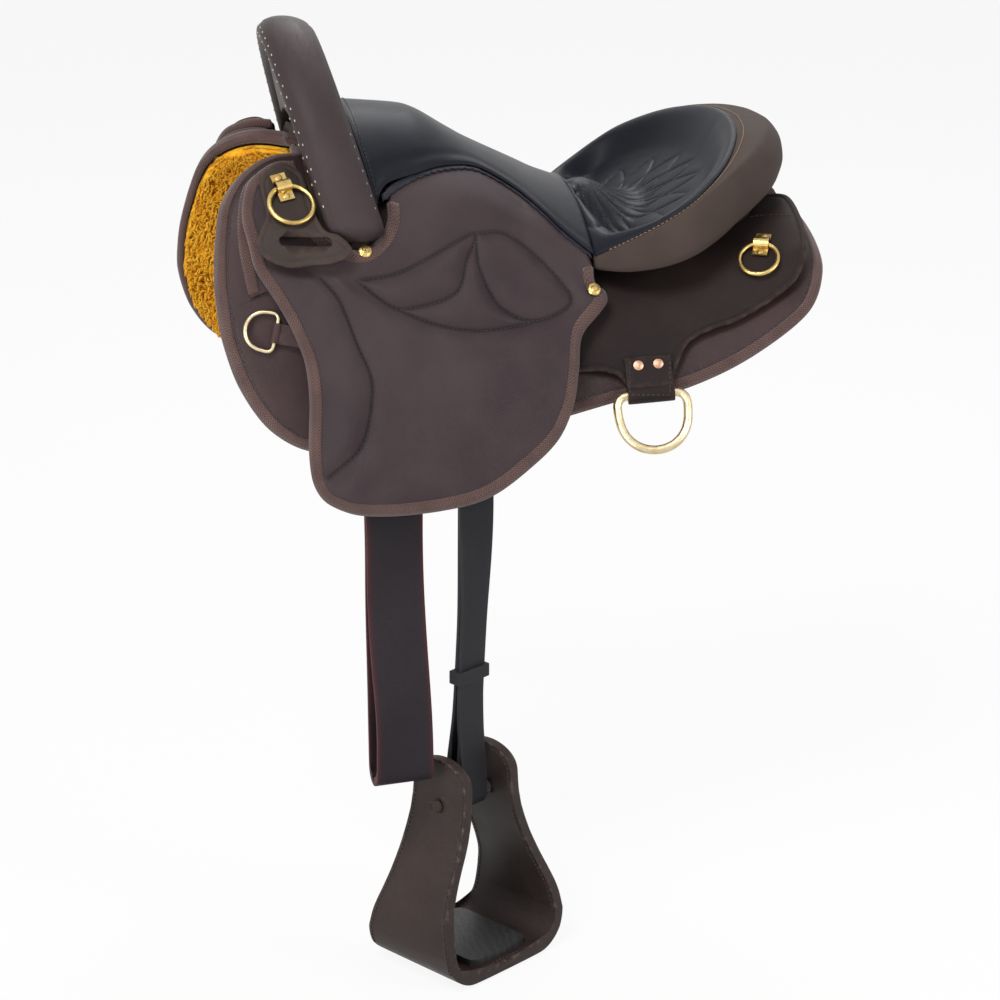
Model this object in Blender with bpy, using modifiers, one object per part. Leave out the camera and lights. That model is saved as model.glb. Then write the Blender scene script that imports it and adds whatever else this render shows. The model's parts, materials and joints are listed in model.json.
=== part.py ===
"""Endurance saddle with a high padded pommel and a deep quilted seat.

The frame is the horse's: -X runs to the head, +X to the tail, -Y is the near (left) side, +Z is up, and the
origin lies in the middle of the back under the seat. Lengths are in metres.

The lower layers of the saddle follow the horse. They are cut out flat, as a saddler cuts leather, in a
pattern of (x, s): x along the back and s down the side, measured round the curve from the spine. The function
skin() lays a pattern point on the horse's side, and lift is the height of a layer above that skin.
"""

import math
from functools import lru_cache

import bmesh
import bpy
from mathutils import Matrix, Vector
from mathutils.geometry import delaunay_2d_cdt

MM = 0.001
GAP = 0.3 * MM                  # air between pieces that rest on each other

# The horse's back
SPINE_LINE = [(-300, 128), (-235, 134), (-190, 122), (-130, 92), (-60, 58),
              (10, 34), (80, 26), (150, 30), (215, 40), (270, 50)]
FRONT_X = -280 * MM             # where the front section below is measured
REAR_X = 250 * MM               # where the rear section below is measured
TOP_SLOPE = (20, 6)             # slope beside the spine at the front and the rear, degrees
SIDE_SLOPE = (74, 58)           # slope low on the side at the front and the rear, degrees
TURN_LENGTH = (170 * MM, 260 * MM)   # arc over which the slope changes

# Layers, as heights above the horse's skin
PANEL_UNDER = -8 * MM           # inner face of the stuffed panel
PANEL_EDGE = 0 * MM             # outer face of the panel at its bound edge
PANEL_CROWN = 7.5 * MM          # outer face where the panel is stuffed full
PANEL_REAR_CROWN = 3 * MM       # outer face on the thin rear lobe
PANEL_SINK = 7.5 * MM           # how far the bars press the panel in below the seat
LAYER_GAP = 1.2 * MM            # air between large layers that follow the same curve
FLEECE_THICK = 11 * MM
BAR_THICK = 8.4 * MM
LEATHER = 4 * MM                # skirting leather, single ply
FLAP_UNDER = 26 * MM            # inner face of the flap over the stirrup leather
FLAP_UNDER_FRONT = 15 * MM      # inner face of the flap in front of the bars
FLAP_EDGE_THICK = 5 * MM
FLAP_CROWN = 12.5 * MM          # greatest thickness of the padded flap
FLAP_TOP_THICK = 7 * MM         # thickness of the flap where it runs under the seat
PLATE_STAND = 11 * MM           # air behind the slotted plate's lower edge

GULLET = 22 * MM                # half-width of the channel over the spine

# Pommel
POMMEL_TOP = 203 * MM           # centre of the roll at its highest point
POMMEL_FOOT = 67 * MM           # height where the roll's legs end
POMMEL_SPREAD = 110 * MM        # parabola: half-width squared = spread x depth below the top
POMMEL_X = -193 * MM            # centre of the roll at its highest point
POMMEL_LEAN = 0.27              # forward lean, X per Z
ROLL_DEPTH = 48 * MM            # along the horse
ROLL_OUT = 20 * MM              # from the roll's line to its outer face
ROLL_IN = 8 * MM                # from the roll's line to its inner face
ROLL_WALL = 6.5 * MM            # padding and leather round the fork
FORK_PLAY = 0.5 * MM

# Seat edge: x, half-width, height of the edge, height of the middle
SEAT_LINE = [(-137, 106, 86, 149), (-112, 88, 98, 146), (-85, 75, 105, 138), (-56, 60, 104, 120),
             (-37, 56, 99, 108), (-8, 66, 82, 93), (9, 84, 69, 84), (27, 100, 52, 75), (50, 119, 34, 66)]
SEAM_X = 50 * MM                # seam between the narrow seat front and the dish
SEAT_CROWN_POWER = 2.2
SEAT_EDGE_THICK = 3 * MM
SEAT_THICK = 15 * MM
SEAT_EDGE_BAND = 14 * MM        # width of the thin border of the seat
SEAT_LAP = 8 * MM               # how far the flap runs in under the seat

# Dish: rim outline as x, half-width
RIM_LINE = [(50, 119), (77, 132), (104, 141), (128, 140), (152, 123), (171, 99), (186, 66), (194, 34), (197, 0)]
RIM_SLOPE = 0.60                # rise of the rim plane per unit of x
RIM_Z = 34 * MM                 # height of the rim at the seam
DISH_DEPTH = 22 * MM
DISH_THICK = 8 * MM
CANTLE_BELLY = 47 * MM          # how far the cantle's back bulges past the rim
CANTLE_FOOT = 19 * MM           # how far its lower edge stands past the rim
CANTLE_HEIGHT = 58 * MM         # rim to lower edge at the back
CANTLE_TIP_HEIGHT = 14 * MM     # rim to lower edge at the front corners

# Metalwork
FRONT_RING_WIRE, FRONT_RING_R = 4.6 * MM, 18.8 * MM
REAR_RING_WIRE, REAR_RING_R = 4.2 * MM, 16.8 * MM
CLIP_WIDTH = 13 * MM
CLIP_THICK = 1.6 * MM
REAR_DEE_WIRE = 8.4 * MM
REAR_DEE_WIDTH = 69 * MM
REAR_DEE_HEIGHT = 58 * MM
DEE_TAB_WIDTH = 40 * MM
PANEL_DEE_WIRE = 4 * MM
PANEL_DEE_WIDTH = 37 * MM
PANEL_DEE_REACH = 30 * MM
GIRTH_DEE_WIRE = 4.6 * MM
GIRTH_DEE_WIDTH = 64 * MM
GIRTH_DEE_HEIGHT = 34 * MM
SCREW_R = 6 * MM
RIVET_R = 4.3 * MM

# Straps and stirrup
GIRTH_WIDTH = 50 * MM
GIRTH_PLY = 3.2 * MM
STIRRUP_STRAP_WIDTH = 30 * MM
STIRRUP_STRAP_PLY = 3.5 * MM
STRAP_LIFT = 14.5 * MM          # middle of a doubled strap where it lies on the panel
HANG_X = -74.5 * MM               # the stirrup leather's stud
FLAP_EXIT_X = -66 * MM          # where the leather comes out below the flap
HUB_X = -75.5 * MM              # the stirrup's bolt
HUB_Z = -430 * MM
HANG_Y = -186 * MM
HANGER_S = 94 * MM              # the stud's place down the side
HANGER_REACH = 30 * MM          # stud to rod
HANGER_BULGE = 6 * MM           # room in the flap over the hanger
KEEPER_Z = -316 * MM
GIRTH_X = -137 * MM
GIRTH_Y = -188 * MM
GIRTH_SWING_OUT = 26 * MM       # how far the strap's end stands out, clear of the stirrup
GIRTH_S = 117 * MM              # the girth rigging's stud
GIRTH_EYE_S = 178 * MM          # the girth dee's bar
GIRTH_TURN = math.radians(12)
ROLLER_R = 8 * MM
BOLT_R = 4 * MM
STUD_R = 4 * MM
STIRRUP_TURN = math.radians(35) # the stirrup's opening is turned from the horse's line
CHEEK_WALL = 10 * MM
STIRRUP_RISE = 43 * MM          # bolt to the top of the cheeks
STIRRUP_DROP = 153 * MM         # bolt to the underside of the foot
STIRRUP_SIDE = [(-43, 33, 31), (0, 34.5, 32), (30, 42, 34), (62, 56, 36), (90, 68, 42),
                (112, 72, 49), (153, 72, 52)]   # depth below the bolt, half-width outside, half-depth
FOOT_BEND = 34 * MM
TREAD_THICK = 6 * MM

# Fineness of the sheets
PANEL_PITCH = 24 * MM
FLAP_PITCH = 17 * MM
SKIRT_PITCH = 24 * MM
UNDER_PITCH = 32 * MM
BAR_PITCH = 22 * MM

PARTS = None


# Curves and surfaces

def lerp(a, b, t):
    return a + (b - a) * t


def ease(t):
    """0 below 0, 1 above 1, and smooth between them."""
    t = min(max(t, 0.0), 1.0)
    return t * t * (3 - 2 * t)


def along(stations, x, column=1):
    """Smooth curve through stations given in millimetres, flat beyond its ends."""
    x = x / MM
    if x <= stations[0][0]:
        return stations[0][column] * MM
    if x >= stations[-1][0]:
        return stations[-1][column] * MM
    i = max(k for k in range(len(stations) - 1) if stations[k][0] <= x)
    before, a = stations[max(i - 1, 0)], stations[i]
    b, after = stations[i + 1], stations[min(i + 2, len(stations) - 1)]
    span = b[0] - a[0]
    t = (x - a[0]) / span
    slope_a = (b[column] - before[column]) / (b[0] - before[0]) * span
    slope_b = (after[column] - a[column]) / (after[0] - a[0]) * span
    return MM * ((2 * t**3 - 3 * t**2 + 1) * a[column] + (t**3 - 2 * t**2 + t) * slope_a
                 + (3 * t**2 - 2 * t**3) * b[column] + (t**3 - t**2) * slope_b)


def rounded(points, spacing, closed=True):
    """Smooth line through hand-placed points in millimetres; a point given twice is a sharp corner."""
    points = [Vector([c * MM for c in p]) for p in points]
    count = len(points)
    line = []
    for i in range(count if closed else count - 1):
        a, b = points[i], points[(i + 1) % count]
        if (b - a).length < 1e-6:
            continue
        before = points[i - 1] if closed or i else a
        after = points[(i + 2) % count] if closed or i + 2 < count else b
        leave = (b - before) / 2 if (a - before).length > 1e-6 else b - a
        arrive = (after - a) / 2 if (after - b).length > 1e-6 else b - a
        limit = (b - a).length
        leave = leave.normalized() * min(leave.length, limit)
        arrive = arrive.normalized() * min(arrive.length, limit)
        steps = max(1, round(limit / spacing))
        for k in range(steps):
            t = k / steps
            line.append((2 * t**3 - 3 * t**2 + 1) * a + (t**3 - 2 * t**2 + t) * leave
                        + (3 * t**2 - 2 * t**3) * b + (t**3 - t**2) * arrive)
    if not closed:
        line.append(points[-1])
    return line


@lru_cache(maxsize=None)
def section(x, s):
    """Half-width, height and slope of the horse's skin at a pattern place."""
    along_back = min(max((x - FRONT_X) / (REAR_X - FRONT_X), 0), 1)
    top = math.radians(lerp(*TOP_SLOPE, along_back))
    side = math.radians(lerp(*SIDE_SLOPE, along_back))
    turn = lerp(*TURN_LENGTH, along_back)
    steps = 24
    y, z = 0.0, along(SPINE_LINE, x)
    for k in range(steps):
        slope = lerp(top, side, ease((k + 0.5) * s / steps / turn))
        y += s / steps * math.cos(slope)
        z -= s / steps * math.sin(slope)
    return y, z, lerp(top, side, ease(s / turn))


def skin(x, s, lift=0.0):
    """Place on the near side of the horse, lift above the skin."""
    y, z, slope = section(round(x, 7), round(s, 7))
    return Vector((x, -y - lift * math.sin(slope), z + lift * math.cos(slope)))


def off_skin(point):
    """Pattern s and lift of a place on either side of the horse."""
    s = abs(point.y)
    for _ in range(12):
        y, z, slope = section(round(point.x, 7), round(s, 7))
        s += (abs(point.y) - y) * math.cos(slope) - (point.z - z) * math.sin(slope)
    y, z, slope = section(round(point.x, 7), round(s, 7))
    return s, (abs(point.y) - y) * math.sin(slope) + (point.z - z) * math.cos(slope)


def height_over(x, y, lift):
    """Height of the layer lift above the skin, over a place in plan."""
    low, high = 0.0, abs(y) * 1.6 + 0.03
    for _ in range(30):
        s = (low + high) / 2
        if -skin(x, s, lift).y < abs(y):
            low = s
        else:
            high = s
    return skin(x, low, lift).z


def skin_frame(x, s, lift, turn=0.0, surface=None):
    """Axes at a place on the near side: X to the horse's head, Y down the side, Z square to the surface."""
    surface = surface or level(lift)
    step = 6 * MM
    ahead = skin(x - step, s, surface(x - step, s)) - skin(x + step, s, surface(x + step, s))
    down = skin(x, s + step, surface(x, s + step)) - skin(x, s - step, surface(x, s - step))
    down.normalize()
    out = ahead.cross(down).normalized()
    frame = Matrix((down.cross(out), down, out)).transposed().to_4x4()
    return Matrix.Translation(skin(x, s, lift)) @ frame @ Matrix.Rotation(turn, 4, 'Z')


def swing_axis(x, s):
    """Axis out of the horse's side without any lean to the head or tail."""
    slope = section(round(x, 7), round(s, 7))[2]
    return Vector((0, -math.sin(slope), math.cos(slope)))


def distance_to(line, x, s, closed=True):
    """Shortest distance from a pattern place to a line."""
    here = Vector((x, s))
    best = 1.0
    for i in range(len(line) if closed else len(line) - 1):
        a, b = line[i], line[(i + 1) % len(line)]
        edge = b - a
        if edge.length_squared:
            t = min(max((here - a).dot(edge) / edge.length_squared, 0), 1)
            best = min(best, (here - a - edge * t).length)
    return best


# Materials and objects

@lru_cache(maxsize=None)
def material(name, colour, roughness, metallic=0.0):
    made = bpy.data.materials.new(name)
    made.use_nodes = True
    shader = made.node_tree.nodes['Principled BSDF']
    shader.inputs['Base Color'].default_value = (*colour, 1.0)
    shader.inputs['Roughness'].default_value = roughness
    shader.inputs['Metallic'].default_value = metallic
    made.diffuse_color = (*colour, 1.0)
    return made


def brown_leather():
    return material('brown_leather', (0.075, 0.052, 0.043), 0.5)


def black_leather():
    return material('black_leather', (0.022, 0.023, 0.028), 0.3)


def strap_leather():
    return material('strap_leather', (0.045, 0.035, 0.036), 0.55)


def fleece_pile():
    return material('fleece_pile', (0.82, 0.40, 0.05), 0.95)


def brass():
    return material('brass', (0.62, 0.47, 0.20), 0.28, 1.0)


def copper():
    return material('copper', (0.50, 0.27, 0.17), 0.35, 1.0)


def steel():
    return material('steel', (0.45, 0.45, 0.46), 0.35, 1.0)


def tree_wood():
    return material('tree_wood', (0.42, 0.29, 0.17), 0.7)


def rubber():
    return material('tread_rubber', (0.02, 0.02, 0.02), 0.8)


def add(name, mesh, finish, origin=(0, 0, 0)):
    """Put a mesh given in world places into the saddle, with its origin where it turns."""
    origin = Vector(origin)
    mesh.transform(Matrix.Translation(-origin))
    mesh.name = name
    mesh.materials.clear()
    mesh.materials.append(finish)
    for polygon in mesh.polygons:
        polygon.use_smooth = True
    mesh.set_sharp_from_angle(angle=math.radians(40))
    piece = bpy.data.objects.new(name, mesh)
    piece.location = origin
    PARTS.objects.link(piece)
    return piece


def mirrored(mesh):
    """The same mesh for the off side of the horse."""
    mesh = mesh.copy()
    mesh.transform(Matrix.Diagonal((1, -1, 1, 1)))
    mesh.flip_normals()
    return mesh


def far_copy(piece):
    """The same piece on the off side of the horse."""
    twin = bpy.data.objects.new(piece.name.replace('near', 'far'), mirrored(piece.data))
    twin.location = Vector((1, -1, 1)) * piece.location
    PARTS.objects.link(twin)
    return twin


def to_mesh(bm):
    bmesh.ops.recalc_face_normals(bm, faces=bm.faces)
    mesh = bpy.data.meshes.new('made')
    bm.to_mesh(mesh)
    bm.free()
    return mesh


def evaluated(piece):
    """Mesh of an object in world places with its modifiers applied; the object goes."""
    bpy.context.view_layer.update()
    graph = bpy.context.evaluated_depsgraph_get()
    mesh = bpy.data.meshes.new_from_object(piece.evaluated_get(graph))
    mesh.transform(piece.matrix_world)
    bpy.data.objects.remove(piece)
    bm = bmesh.new()
    bm.from_mesh(mesh)
    bmesh.ops.remove_doubles(bm, verts=bm.verts, dist=1e-6)
    bmesh.ops.recalc_face_normals(bm, faces=bm.faces)
    bm.to_mesh(mesh)
    bm.free()
    return mesh


def worked(mesh, tools, operation='DIFFERENCE'):
    """Cut or join a mesh with others, and return the result."""
    blank = bpy.data.objects.new('blank', mesh)
    bpy.context.scene.collection.objects.link(blank)
    held = []
    for tool in tools:
        other = bpy.data.objects.new('tool', tool)
        bpy.context.scene.collection.objects.link(other)
        step = blank.modifiers.new('work', 'BOOLEAN')
        step.operation = operation
        step.object = other
        step.solver = 'EXACT'
        held.append(other)
    mesh = evaluated(blank)
    for other in held:
        bpy.data.objects.remove(other)
    return mesh


def loft(rings, closed=False):
    """Skin over rings with equal numbers of points, closed on itself or capped at both ends."""
    bm = bmesh.new()
    rows = [[bm.verts.new(p) for p in ring] for ring in rings]
    count = len(rows[0])
    for i in range(len(rows) if closed else len(rows) - 1):
        a, b = rows[i], rows[(i + 1) % len(rows)]
        for k in range(count):
            bm.faces.new((a[k], a[(k + 1) % count], b[(k + 1) % count], b[k]))
    if not closed:
        bm.faces.new(rows[0])
        bm.faces.new(rows[-1])
    return to_mesh(bm)


def tube(outer, inner):
    """Tube with a bore: outer and inner rings of as many points, joined at both open ends."""
    bm = bmesh.new()
    shells = [[[bm.verts.new(p) for p in ring] for ring in rings] for rings in (outer, inner)]
    count = len(outer[0])
    bands = [(a, b) for rows in shells for a, b in zip(rows, rows[1:])]
    bands += [(shells[0][end], shells[1][end]) for end in (0, -1)]
    for a, b in bands:
        for k in range(count):
            bm.faces.new((a[k], a[(k + 1) % count], b[(k + 1) % count], b[k]))
    return to_mesh(bm)


def cylinder(radius, depth, frame, sides=20):
    """Cylinder along the frame's Z, centred on it."""
    bm = bmesh.new()
    bmesh.ops.create_cone(bm, cap_ends=True, segments=sides, radius1=radius, radius2=radius, depth=depth,
                          matrix=frame)
    return to_mesh(bm)


def block(size, frame):
    """Box centred on a frame."""
    bm = bmesh.new()
    bmesh.ops.create_cube(bm, size=1.0, matrix=frame @ Matrix.Diagonal((*size, 1)))
    return to_mesh(bm)


def turned(profile, frame, steps=20):
    """Solid of revolution about the frame's Z from a profile of radius and height that starts and ends there."""
    mesh = bpy.data.meshes.new('profile')
    mesh.from_pydata([(r, 0, z) for r, z in profile], [(i, i + 1) for i in range(len(profile) - 1)], [])
    piece = bpy.data.objects.new('profile', mesh)
    bpy.context.scene.collection.objects.link(piece)
    screw = piece.modifiers.new('turn', 'SCREW')
    screw.steps = steps
    screw.render_steps = steps
    screw.use_merge_vertices = True
    screw.merge_threshold = 0.00001
    piece.matrix_world = frame
    return evaluated(piece)


def plate(outline, thickness, frame):
    """Flat outline in the frame's XY plane, from Z 0 up to the thickness."""
    curve = bpy.data.curves.new('outline', 'CURVE')
    curve.dimensions = '2D'
    curve.fill_mode = 'BOTH'
    curve.extrude = thickness / 2
    spline = curve.splines.new('POLY')
    spline.points.add(len(outline) - 1)
    for point, (x, y) in zip(spline.points, outline):
        point.co = (x, y, 0, 1)
    spline.use_cyclic_u = True
    piece = bpy.data.objects.new('outline', curve)
    bpy.context.scene.collection.objects.link(piece)
    piece.matrix_world = frame @ Matrix.Translation((0, 0, thickness / 2))
    return evaluated(piece)


def wire_loop(points, wire, frame, resolution=2):
    """Closed loop of round wire through points in the frame's XY plane."""
    curve = bpy.data.curves.new('wire', 'CURVE')
    curve.dimensions = '3D'
    curve.bevel_depth = wire / 2
    curve.bevel_resolution = resolution
    curve.resolution_u = 1
    spline = curve.splines.new('POLY')
    spline.points.add(len(points) - 1)
    for point, (x, y) in zip(spline.points, points):
        point.co = (x, y, 0, 1)
    spline.use_cyclic_u = True
    piece = bpy.data.objects.new('wire', curve)
    bpy.context.scene.collection.objects.link(piece)
    piece.matrix_world = frame
    return evaluated(piece)


def ring(radius, wire, frame, sides=24, around=8):
    """Round ring in the frame's XY plane."""
    bpy.ops.mesh.primitive_torus_add(major_segments=sides, minor_segments=around,
                                     major_radius=radius, minor_radius=wire / 2)
    piece = bpy.context.object
    piece.matrix_world = frame
    return evaluated(piece)


def arc(centre, radius, start, end, steps):
    """Points round a circle, angles in degrees."""
    return [(centre[0] + radius * math.cos(math.radians(lerp(start, end, k / steps))),
             centre[1] + radius * math.sin(math.radians(lerp(start, end, k / steps)))) for k in range(steps + 1)]


# Cut leather

def within(outline, p):
    """Whether a pattern place lies inside an outline."""
    inside = False
    for a, b in zip(outline, outline[1:] + outline[:1]):
        if (a[1] > p[1]) != (b[1] > p[1]):
            if p[0] < a[0] + (p[1] - a[1]) * (b[0] - a[0]) / (b[1] - a[1]):
                inside = not inside
    return inside


def net(outline, pitch, seams=(), inset=None):
    """Triangles over a pattern: an even net, drawn closer along its seams and inside its edge."""
    places = [Vector((p[0], p[1])) for p in outline]
    edges = []

    def place(p, room):
        for i, q in enumerate(places):
            if (p - q).length < room:
                return i
        places.append(p)
        return len(places) - 1

    for seam in seams:
        kept = [within(outline, p) and distance_to(outline, *p) > 3 * MM for p in seam]
        numbers = [place(Vector(p), 3 * MM) if ok else None for p, ok in zip(seam, kept)]
        for a, b in zip(numbers, numbers[1:]):
            if a is not None and b is not None and a != b:
                edges.append((a, b))
    for seam in seams:
        for a, b in zip(seam[::2], seam[1::2]):
            across = Vector((-(b - a).y, (b - a).x)).normalized() * SEAM_WIDTH
            for p in ((a + b) / 2 + across, (a + b) / 2 - across):
                if within(outline, p) and distance_to(outline, *p) > 5 * MM:
                    place(p, 6.5 * MM)
    if inset:
        for a, b, c in zip(outline[-1:] + outline[:-1], outline, outline[1:] + outline[:1]):
            run = Vector(c[:2]) - Vector(a[:2])
            p = Vector(b[:2]) + Vector((-run.y, run.x)).normalized() * inset
            q = Vector(b[:2]) - Vector((-run.y, run.x)).normalized() * inset
            p = p if within(outline, p) else q
            if within(outline, p) and distance_to(outline, *p) > inset * 0.8:
                place(p, inset * 0.8)
    low = [min(p[axis] for p in outline) for axis in (0, 1)]
    high = [max(p[axis] for p in outline) for axis in (0, 1)]
    rows = int((high[1] - low[1]) / (pitch * 0.87))
    for j in range(rows + 1):
        columns = int((high[0] - low[0]) / pitch)
        for i in range(columns + 1):
            p = Vector((low[0] + (i + 0.5 * (j % 2)) * pitch, low[1] + (j + 0.5) * pitch * 0.87))
            if within(outline, p) and distance_to(outline, *p) > pitch * 0.5:
                place(p, pitch * 0.62)
    found = delaunay_2d_cdt(places, edges, [list(range(len(outline)))], 1, 1e-7)
    spots, _, faces, source = found[0], found[1], found[2], found[3]
    rim = {}
    for new, olds in enumerate(source):
        for old in olds:
            if old < len(outline):
                rim[old] = new
    return spots, faces, [rim[i] for i in range(len(outline))]


def pattern_sheet(outline, under, over, pitch, under_pitch, seams=(), inset=None):
    """Solid between two heights over a flat pattern."""
    bm = bmesh.new()
    rims = []
    for height, closeness, lines, ring_in in ((over, pitch, seams, inset), (under, under_pitch, (), None)):
        spots, faces, rim = net(outline, closeness, lines, ring_in)
        verts = [bm.verts.new(skin(p.x, p.y, height(p.x, p.y))) for p in spots]
        for face in faces:
            bm.faces.new([verts[i] for i in face])
        rims.append([verts[i] for i in rim])
    top, low = rims
    for k in range(len(top)):
        j = (k + 1) % len(top)
        bm.faces.new((top[k], top[j], low[j], low[k]))
    return to_mesh(bm)


def level(value):
    return lambda x, s: value


# Outlines of the near side, x along the back and s down the side

PANEL_CUT = [(-196, 22), (-196, 22), (-195, 34), (-214, 46), (-232, 59), (-251, 77), (-264, 98), (-270, 126),
             (-273, 160), (-272, 186), (-269, 212), (-257, 254), (-235, 291), (-207, 306), (-150, 300),
             (-80, 268), (-10, 228), (60, 206), (124, 203), (185, 189), (232, 166), (250, 132), (253, 94),
             (250, 41), (248, 22), (248, 22)]
FAR_FORWARD = 14 * MM           # the off panel's front edge hangs this much further forward
FRONT_SKIRT_CUT = [(-197, 66), (-197, 66), (-215, 70), (-232, 79), (-245, 92), (-251, 113), (-252, 138),
                   (-249, 161), (-246, 180), (-246, 180), (-230, 176), (-214, 174), (-197, 174), (-197, 174)]
FLAP_FRONT_X, FLAP_FRONT_S = -236, 170      # where the flap's free front edge starts
FLAP_REAR_X, FLAP_REAR_S = 51, 139          # where its free rear edge starts
FLAP_LOWER_CUT = [(-236, 170), (-236, 170), (-224, 190), (-214, 210), (-206, 233), (-204, 264), (-207, 306),
                  (-205, 334), (-195, 349), (-173, 353), (-143, 344), (-101, 326), (-58, 302), (-23, 271),
                  (4, 242), (19, 212), (26, 184), (32, 158), (51, 139), (51, 139)]
FLAP_SHOULDER_CUT = [(-236, 170), (-236, 170), (-243, 156), (-247, 135), (-250, 118), (-248, 103), (-242, 90),
                     (-230, 80), (-216, 71), (-200, 67), (-200, 67), (-197, 80), (-194, 96), (-192, 108),
                     (-189, 121), (-178, 130), (-162, 132), (-148, 126), (-135, 113), (-127, 98), (-126, 84)]
FLAP_REAR_CUT = [(49, 104), (49, 104), (49.3, 117), (57, 123), (58, 131), (51, 139), (51, 139)]
PLATE_CUT = [(-210, 76), (-222, 81), (-232, 91), (-232, 105), (-230, 119), (-235, 128), (-240, 138), (-239, 146),
             (-230, 154), (-215, 158), (-197, 154), (-180, 150), (-166, 142), (-163, 135), (-172, 129),
             (-183, 127), (-188, 119), (-191, 107), (-194, 92), (-197, 82)]
PLATE_SLOT = ((-222, 139), (-179, 135), 10)    # ends of the slot's middle line, and its height
RIG_SKIRT_CUT = [(24, 66), (24, 66), (150, 66), (190, 64), (203, 46), (220, 38), (236, 46), (240, 66), (238, 109), (227, 138),
                 (205, 151), (170, 161), (140, 164), (124, 170), (114, 184), (108, 196), (108, 196),
                 (68, 196), (68, 196), (62, 187), (47, 182), (24, 182), (24, 182)]
BAR_CUT = [(-190, 50), (-190, 50), (-190, 118), (-178, 128), (-134, 128), (-118, 116), (-76, 106), (-46, 99), (60, 97),
           (150, 96), (196, 92), (204, 72), (190, 42), (150, 36), (60, 34), (-60, 34), (-150, 40)]
KNEE_SEAM = [(-188, 161), (-175, 175), (-162, 208), (-152, 233), (-156, 267), (-166, 296), (-192, 327)]
FRONT_LEAF_SEAM = [(-159, 155), (-122, 138), (-85, 113), (-51, 91), (-62, 114), (-74, 140), (-107, 159),
                   (-129, 166), (-159, 155)]
REAR_LEAF_SEAM = [(-51, 91), (-24, 86), (4, 101), (26, 130), (-9, 149), (-38, 142), (-51, 118), (-51, 91)]
UNDER_ARC_SEAM = [(-129, 166), (-100, 169), (-60, 165), (-22, 154), (-9, 149)]
SEAM_WIDTH = 8 * MM
SEAM_DEPTH = 3.5 * MM


def panel_top(x, s, outline):
    """Outer face of the panel: bound edge, full front roll, thin rear lobe."""
    full = lerp(PANEL_CROWN, PANEL_REAR_CROWN, ease((x + 60 * MM) / (90 * MM)) * ease((s - 105 * MM) / (40 * MM)))
    rise = 1 - math.exp(-distance_to(outline, x, s) / (9 * MM))
    return lerp(PANEL_EDGE, full, rise) - sink(x) * (1 - ease((s - 108 * MM) / (20 * MM)))


def sink(x):
    """How far the bar lies below the panel's usual crown."""
    return PANEL_SINK * ease(x / (50 * MM)) * (1 - ease((x - 140 * MM) / (50 * MM)))


def swung_forward(outline):
    """The off side hangs further forward towards its front corner."""
    return [p - Vector((FAR_FORWARD, 0)) * ease((p.y - 95 * MM) / (130 * MM)) * ease((-170 * MM - p.x) / (50 * MM))
            for p in outline]


def make_panels():
    middle = Vector((-10, 140)) * MM
    for side in ('near', 'far'):
        outline = rounded(PANEL_CUT, PANEL_PITCH)
        if side == 'far':
            outline = swung_forward(outline)
        inset = [p + (middle - p).normalized() * 5 * MM for p in outline]
        panel = pattern_sheet(outline, level(PANEL_UNDER), lambda x, s: panel_top(x, s, outline),
                              PANEL_PITCH, UNDER_PITCH, inset=9 * MM)
        top = PANEL_UNDER - LAYER_GAP
        fleece = pattern_sheet(inset, level(top - FLEECE_THICK), level(top), UNDER_PITCH, UNDER_PITCH)
        if side == 'far':
            panel, fleece = mirrored(panel), mirrored(fleece)
        add('panel_' + side, panel, brown_leather())
        add('fleece_' + side, fleece, fleece_pile())


def bar_under(x, s=0.0):
    return PANEL_CROWN + LAYER_GAP - sink(x)


def on_bar(x, s=0.0):
    """Height of a piece that lies on a bar of the tree."""
    return bar_under(x) + BAR_THICK + GAP


def make_bars():
    """Bars of the tree, each with the headed studs for the stirrup hanger and the girth rigging."""
    outline = rounded(BAR_CUT, 20 * MM)
    mesh = pattern_sheet(outline, bar_under, lambda x, s: bar_under(x) + BAR_THICK, BAR_PITCH, BAR_PITCH)
    head = [(0, 7.4), (4.6, 7.2), (6.6, 6.4), (6.6, 5.6), (4, 5.6), (4, -4), (0, -4)]
    head = [(r * MM, z * MM) for r, z in head]
    studs = [turned(head, skin_frame(HANG_X, HANGER_S, on_bar(HANG_X)), 12),
             turned(head, skin_frame(GIRTH_X, GIRTH_S, on_bar(GIRTH_X)), 12)]
    mesh = worked(mesh, studs, 'UNION')
    far_copy(add('tree_bar_near', mesh, tree_wood()))


def make_front_skirts():
    low = PANEL_CROWN + LAYER_GAP
    mesh = pattern_sheet(rounded(FRONT_SKIRT_CUT, 14 * MM), level(low), level(low + 3 * MM), SKIRT_PITCH,
                         SKIRT_PITCH)
    far_copy(add('front_skirt_near', mesh, brown_leather()))


def rig_skirt_under(x, s):
    """The rigging skirt lies on the bar and drops towards the panel below it."""
    return lerp(on_bar(x) + 3 * GAP, 8 * MM, ease((s - 116 * MM) / (42 * MM)))


def make_rigging_skirts():
    mesh = pattern_sheet(rounded(RIG_SKIRT_CUT, 16 * MM), rig_skirt_under,
                         lambda x, s: rig_skirt_under(x, s) + LEATHER, SKIRT_PITCH, BAR_PITCH)
    far_copy(add('rigging_skirt_near', mesh, brown_leather()))


# Seat

def seat_half_width(x):
    return along(SEAT_LINE, x, 1)


def seat_height(x, across):
    """Top of the seat's narrow front; across runs from -1 at the near edge to 1 at the far edge."""
    edge, middle = along(SEAT_LINE, x, 2), along(SEAT_LINE, x, 3)
    return edge + (middle - edge) * (1 - abs(across) ** SEAT_CROWN_POWER)


def seat_thickness(inside):
    """Thickness of the seat at a distance inside its edge."""
    return lerp(SEAT_EDGE_THICK, SEAT_THICK, ease((inside - SEAT_EDGE_BAND) / (30 * MM)))


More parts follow.
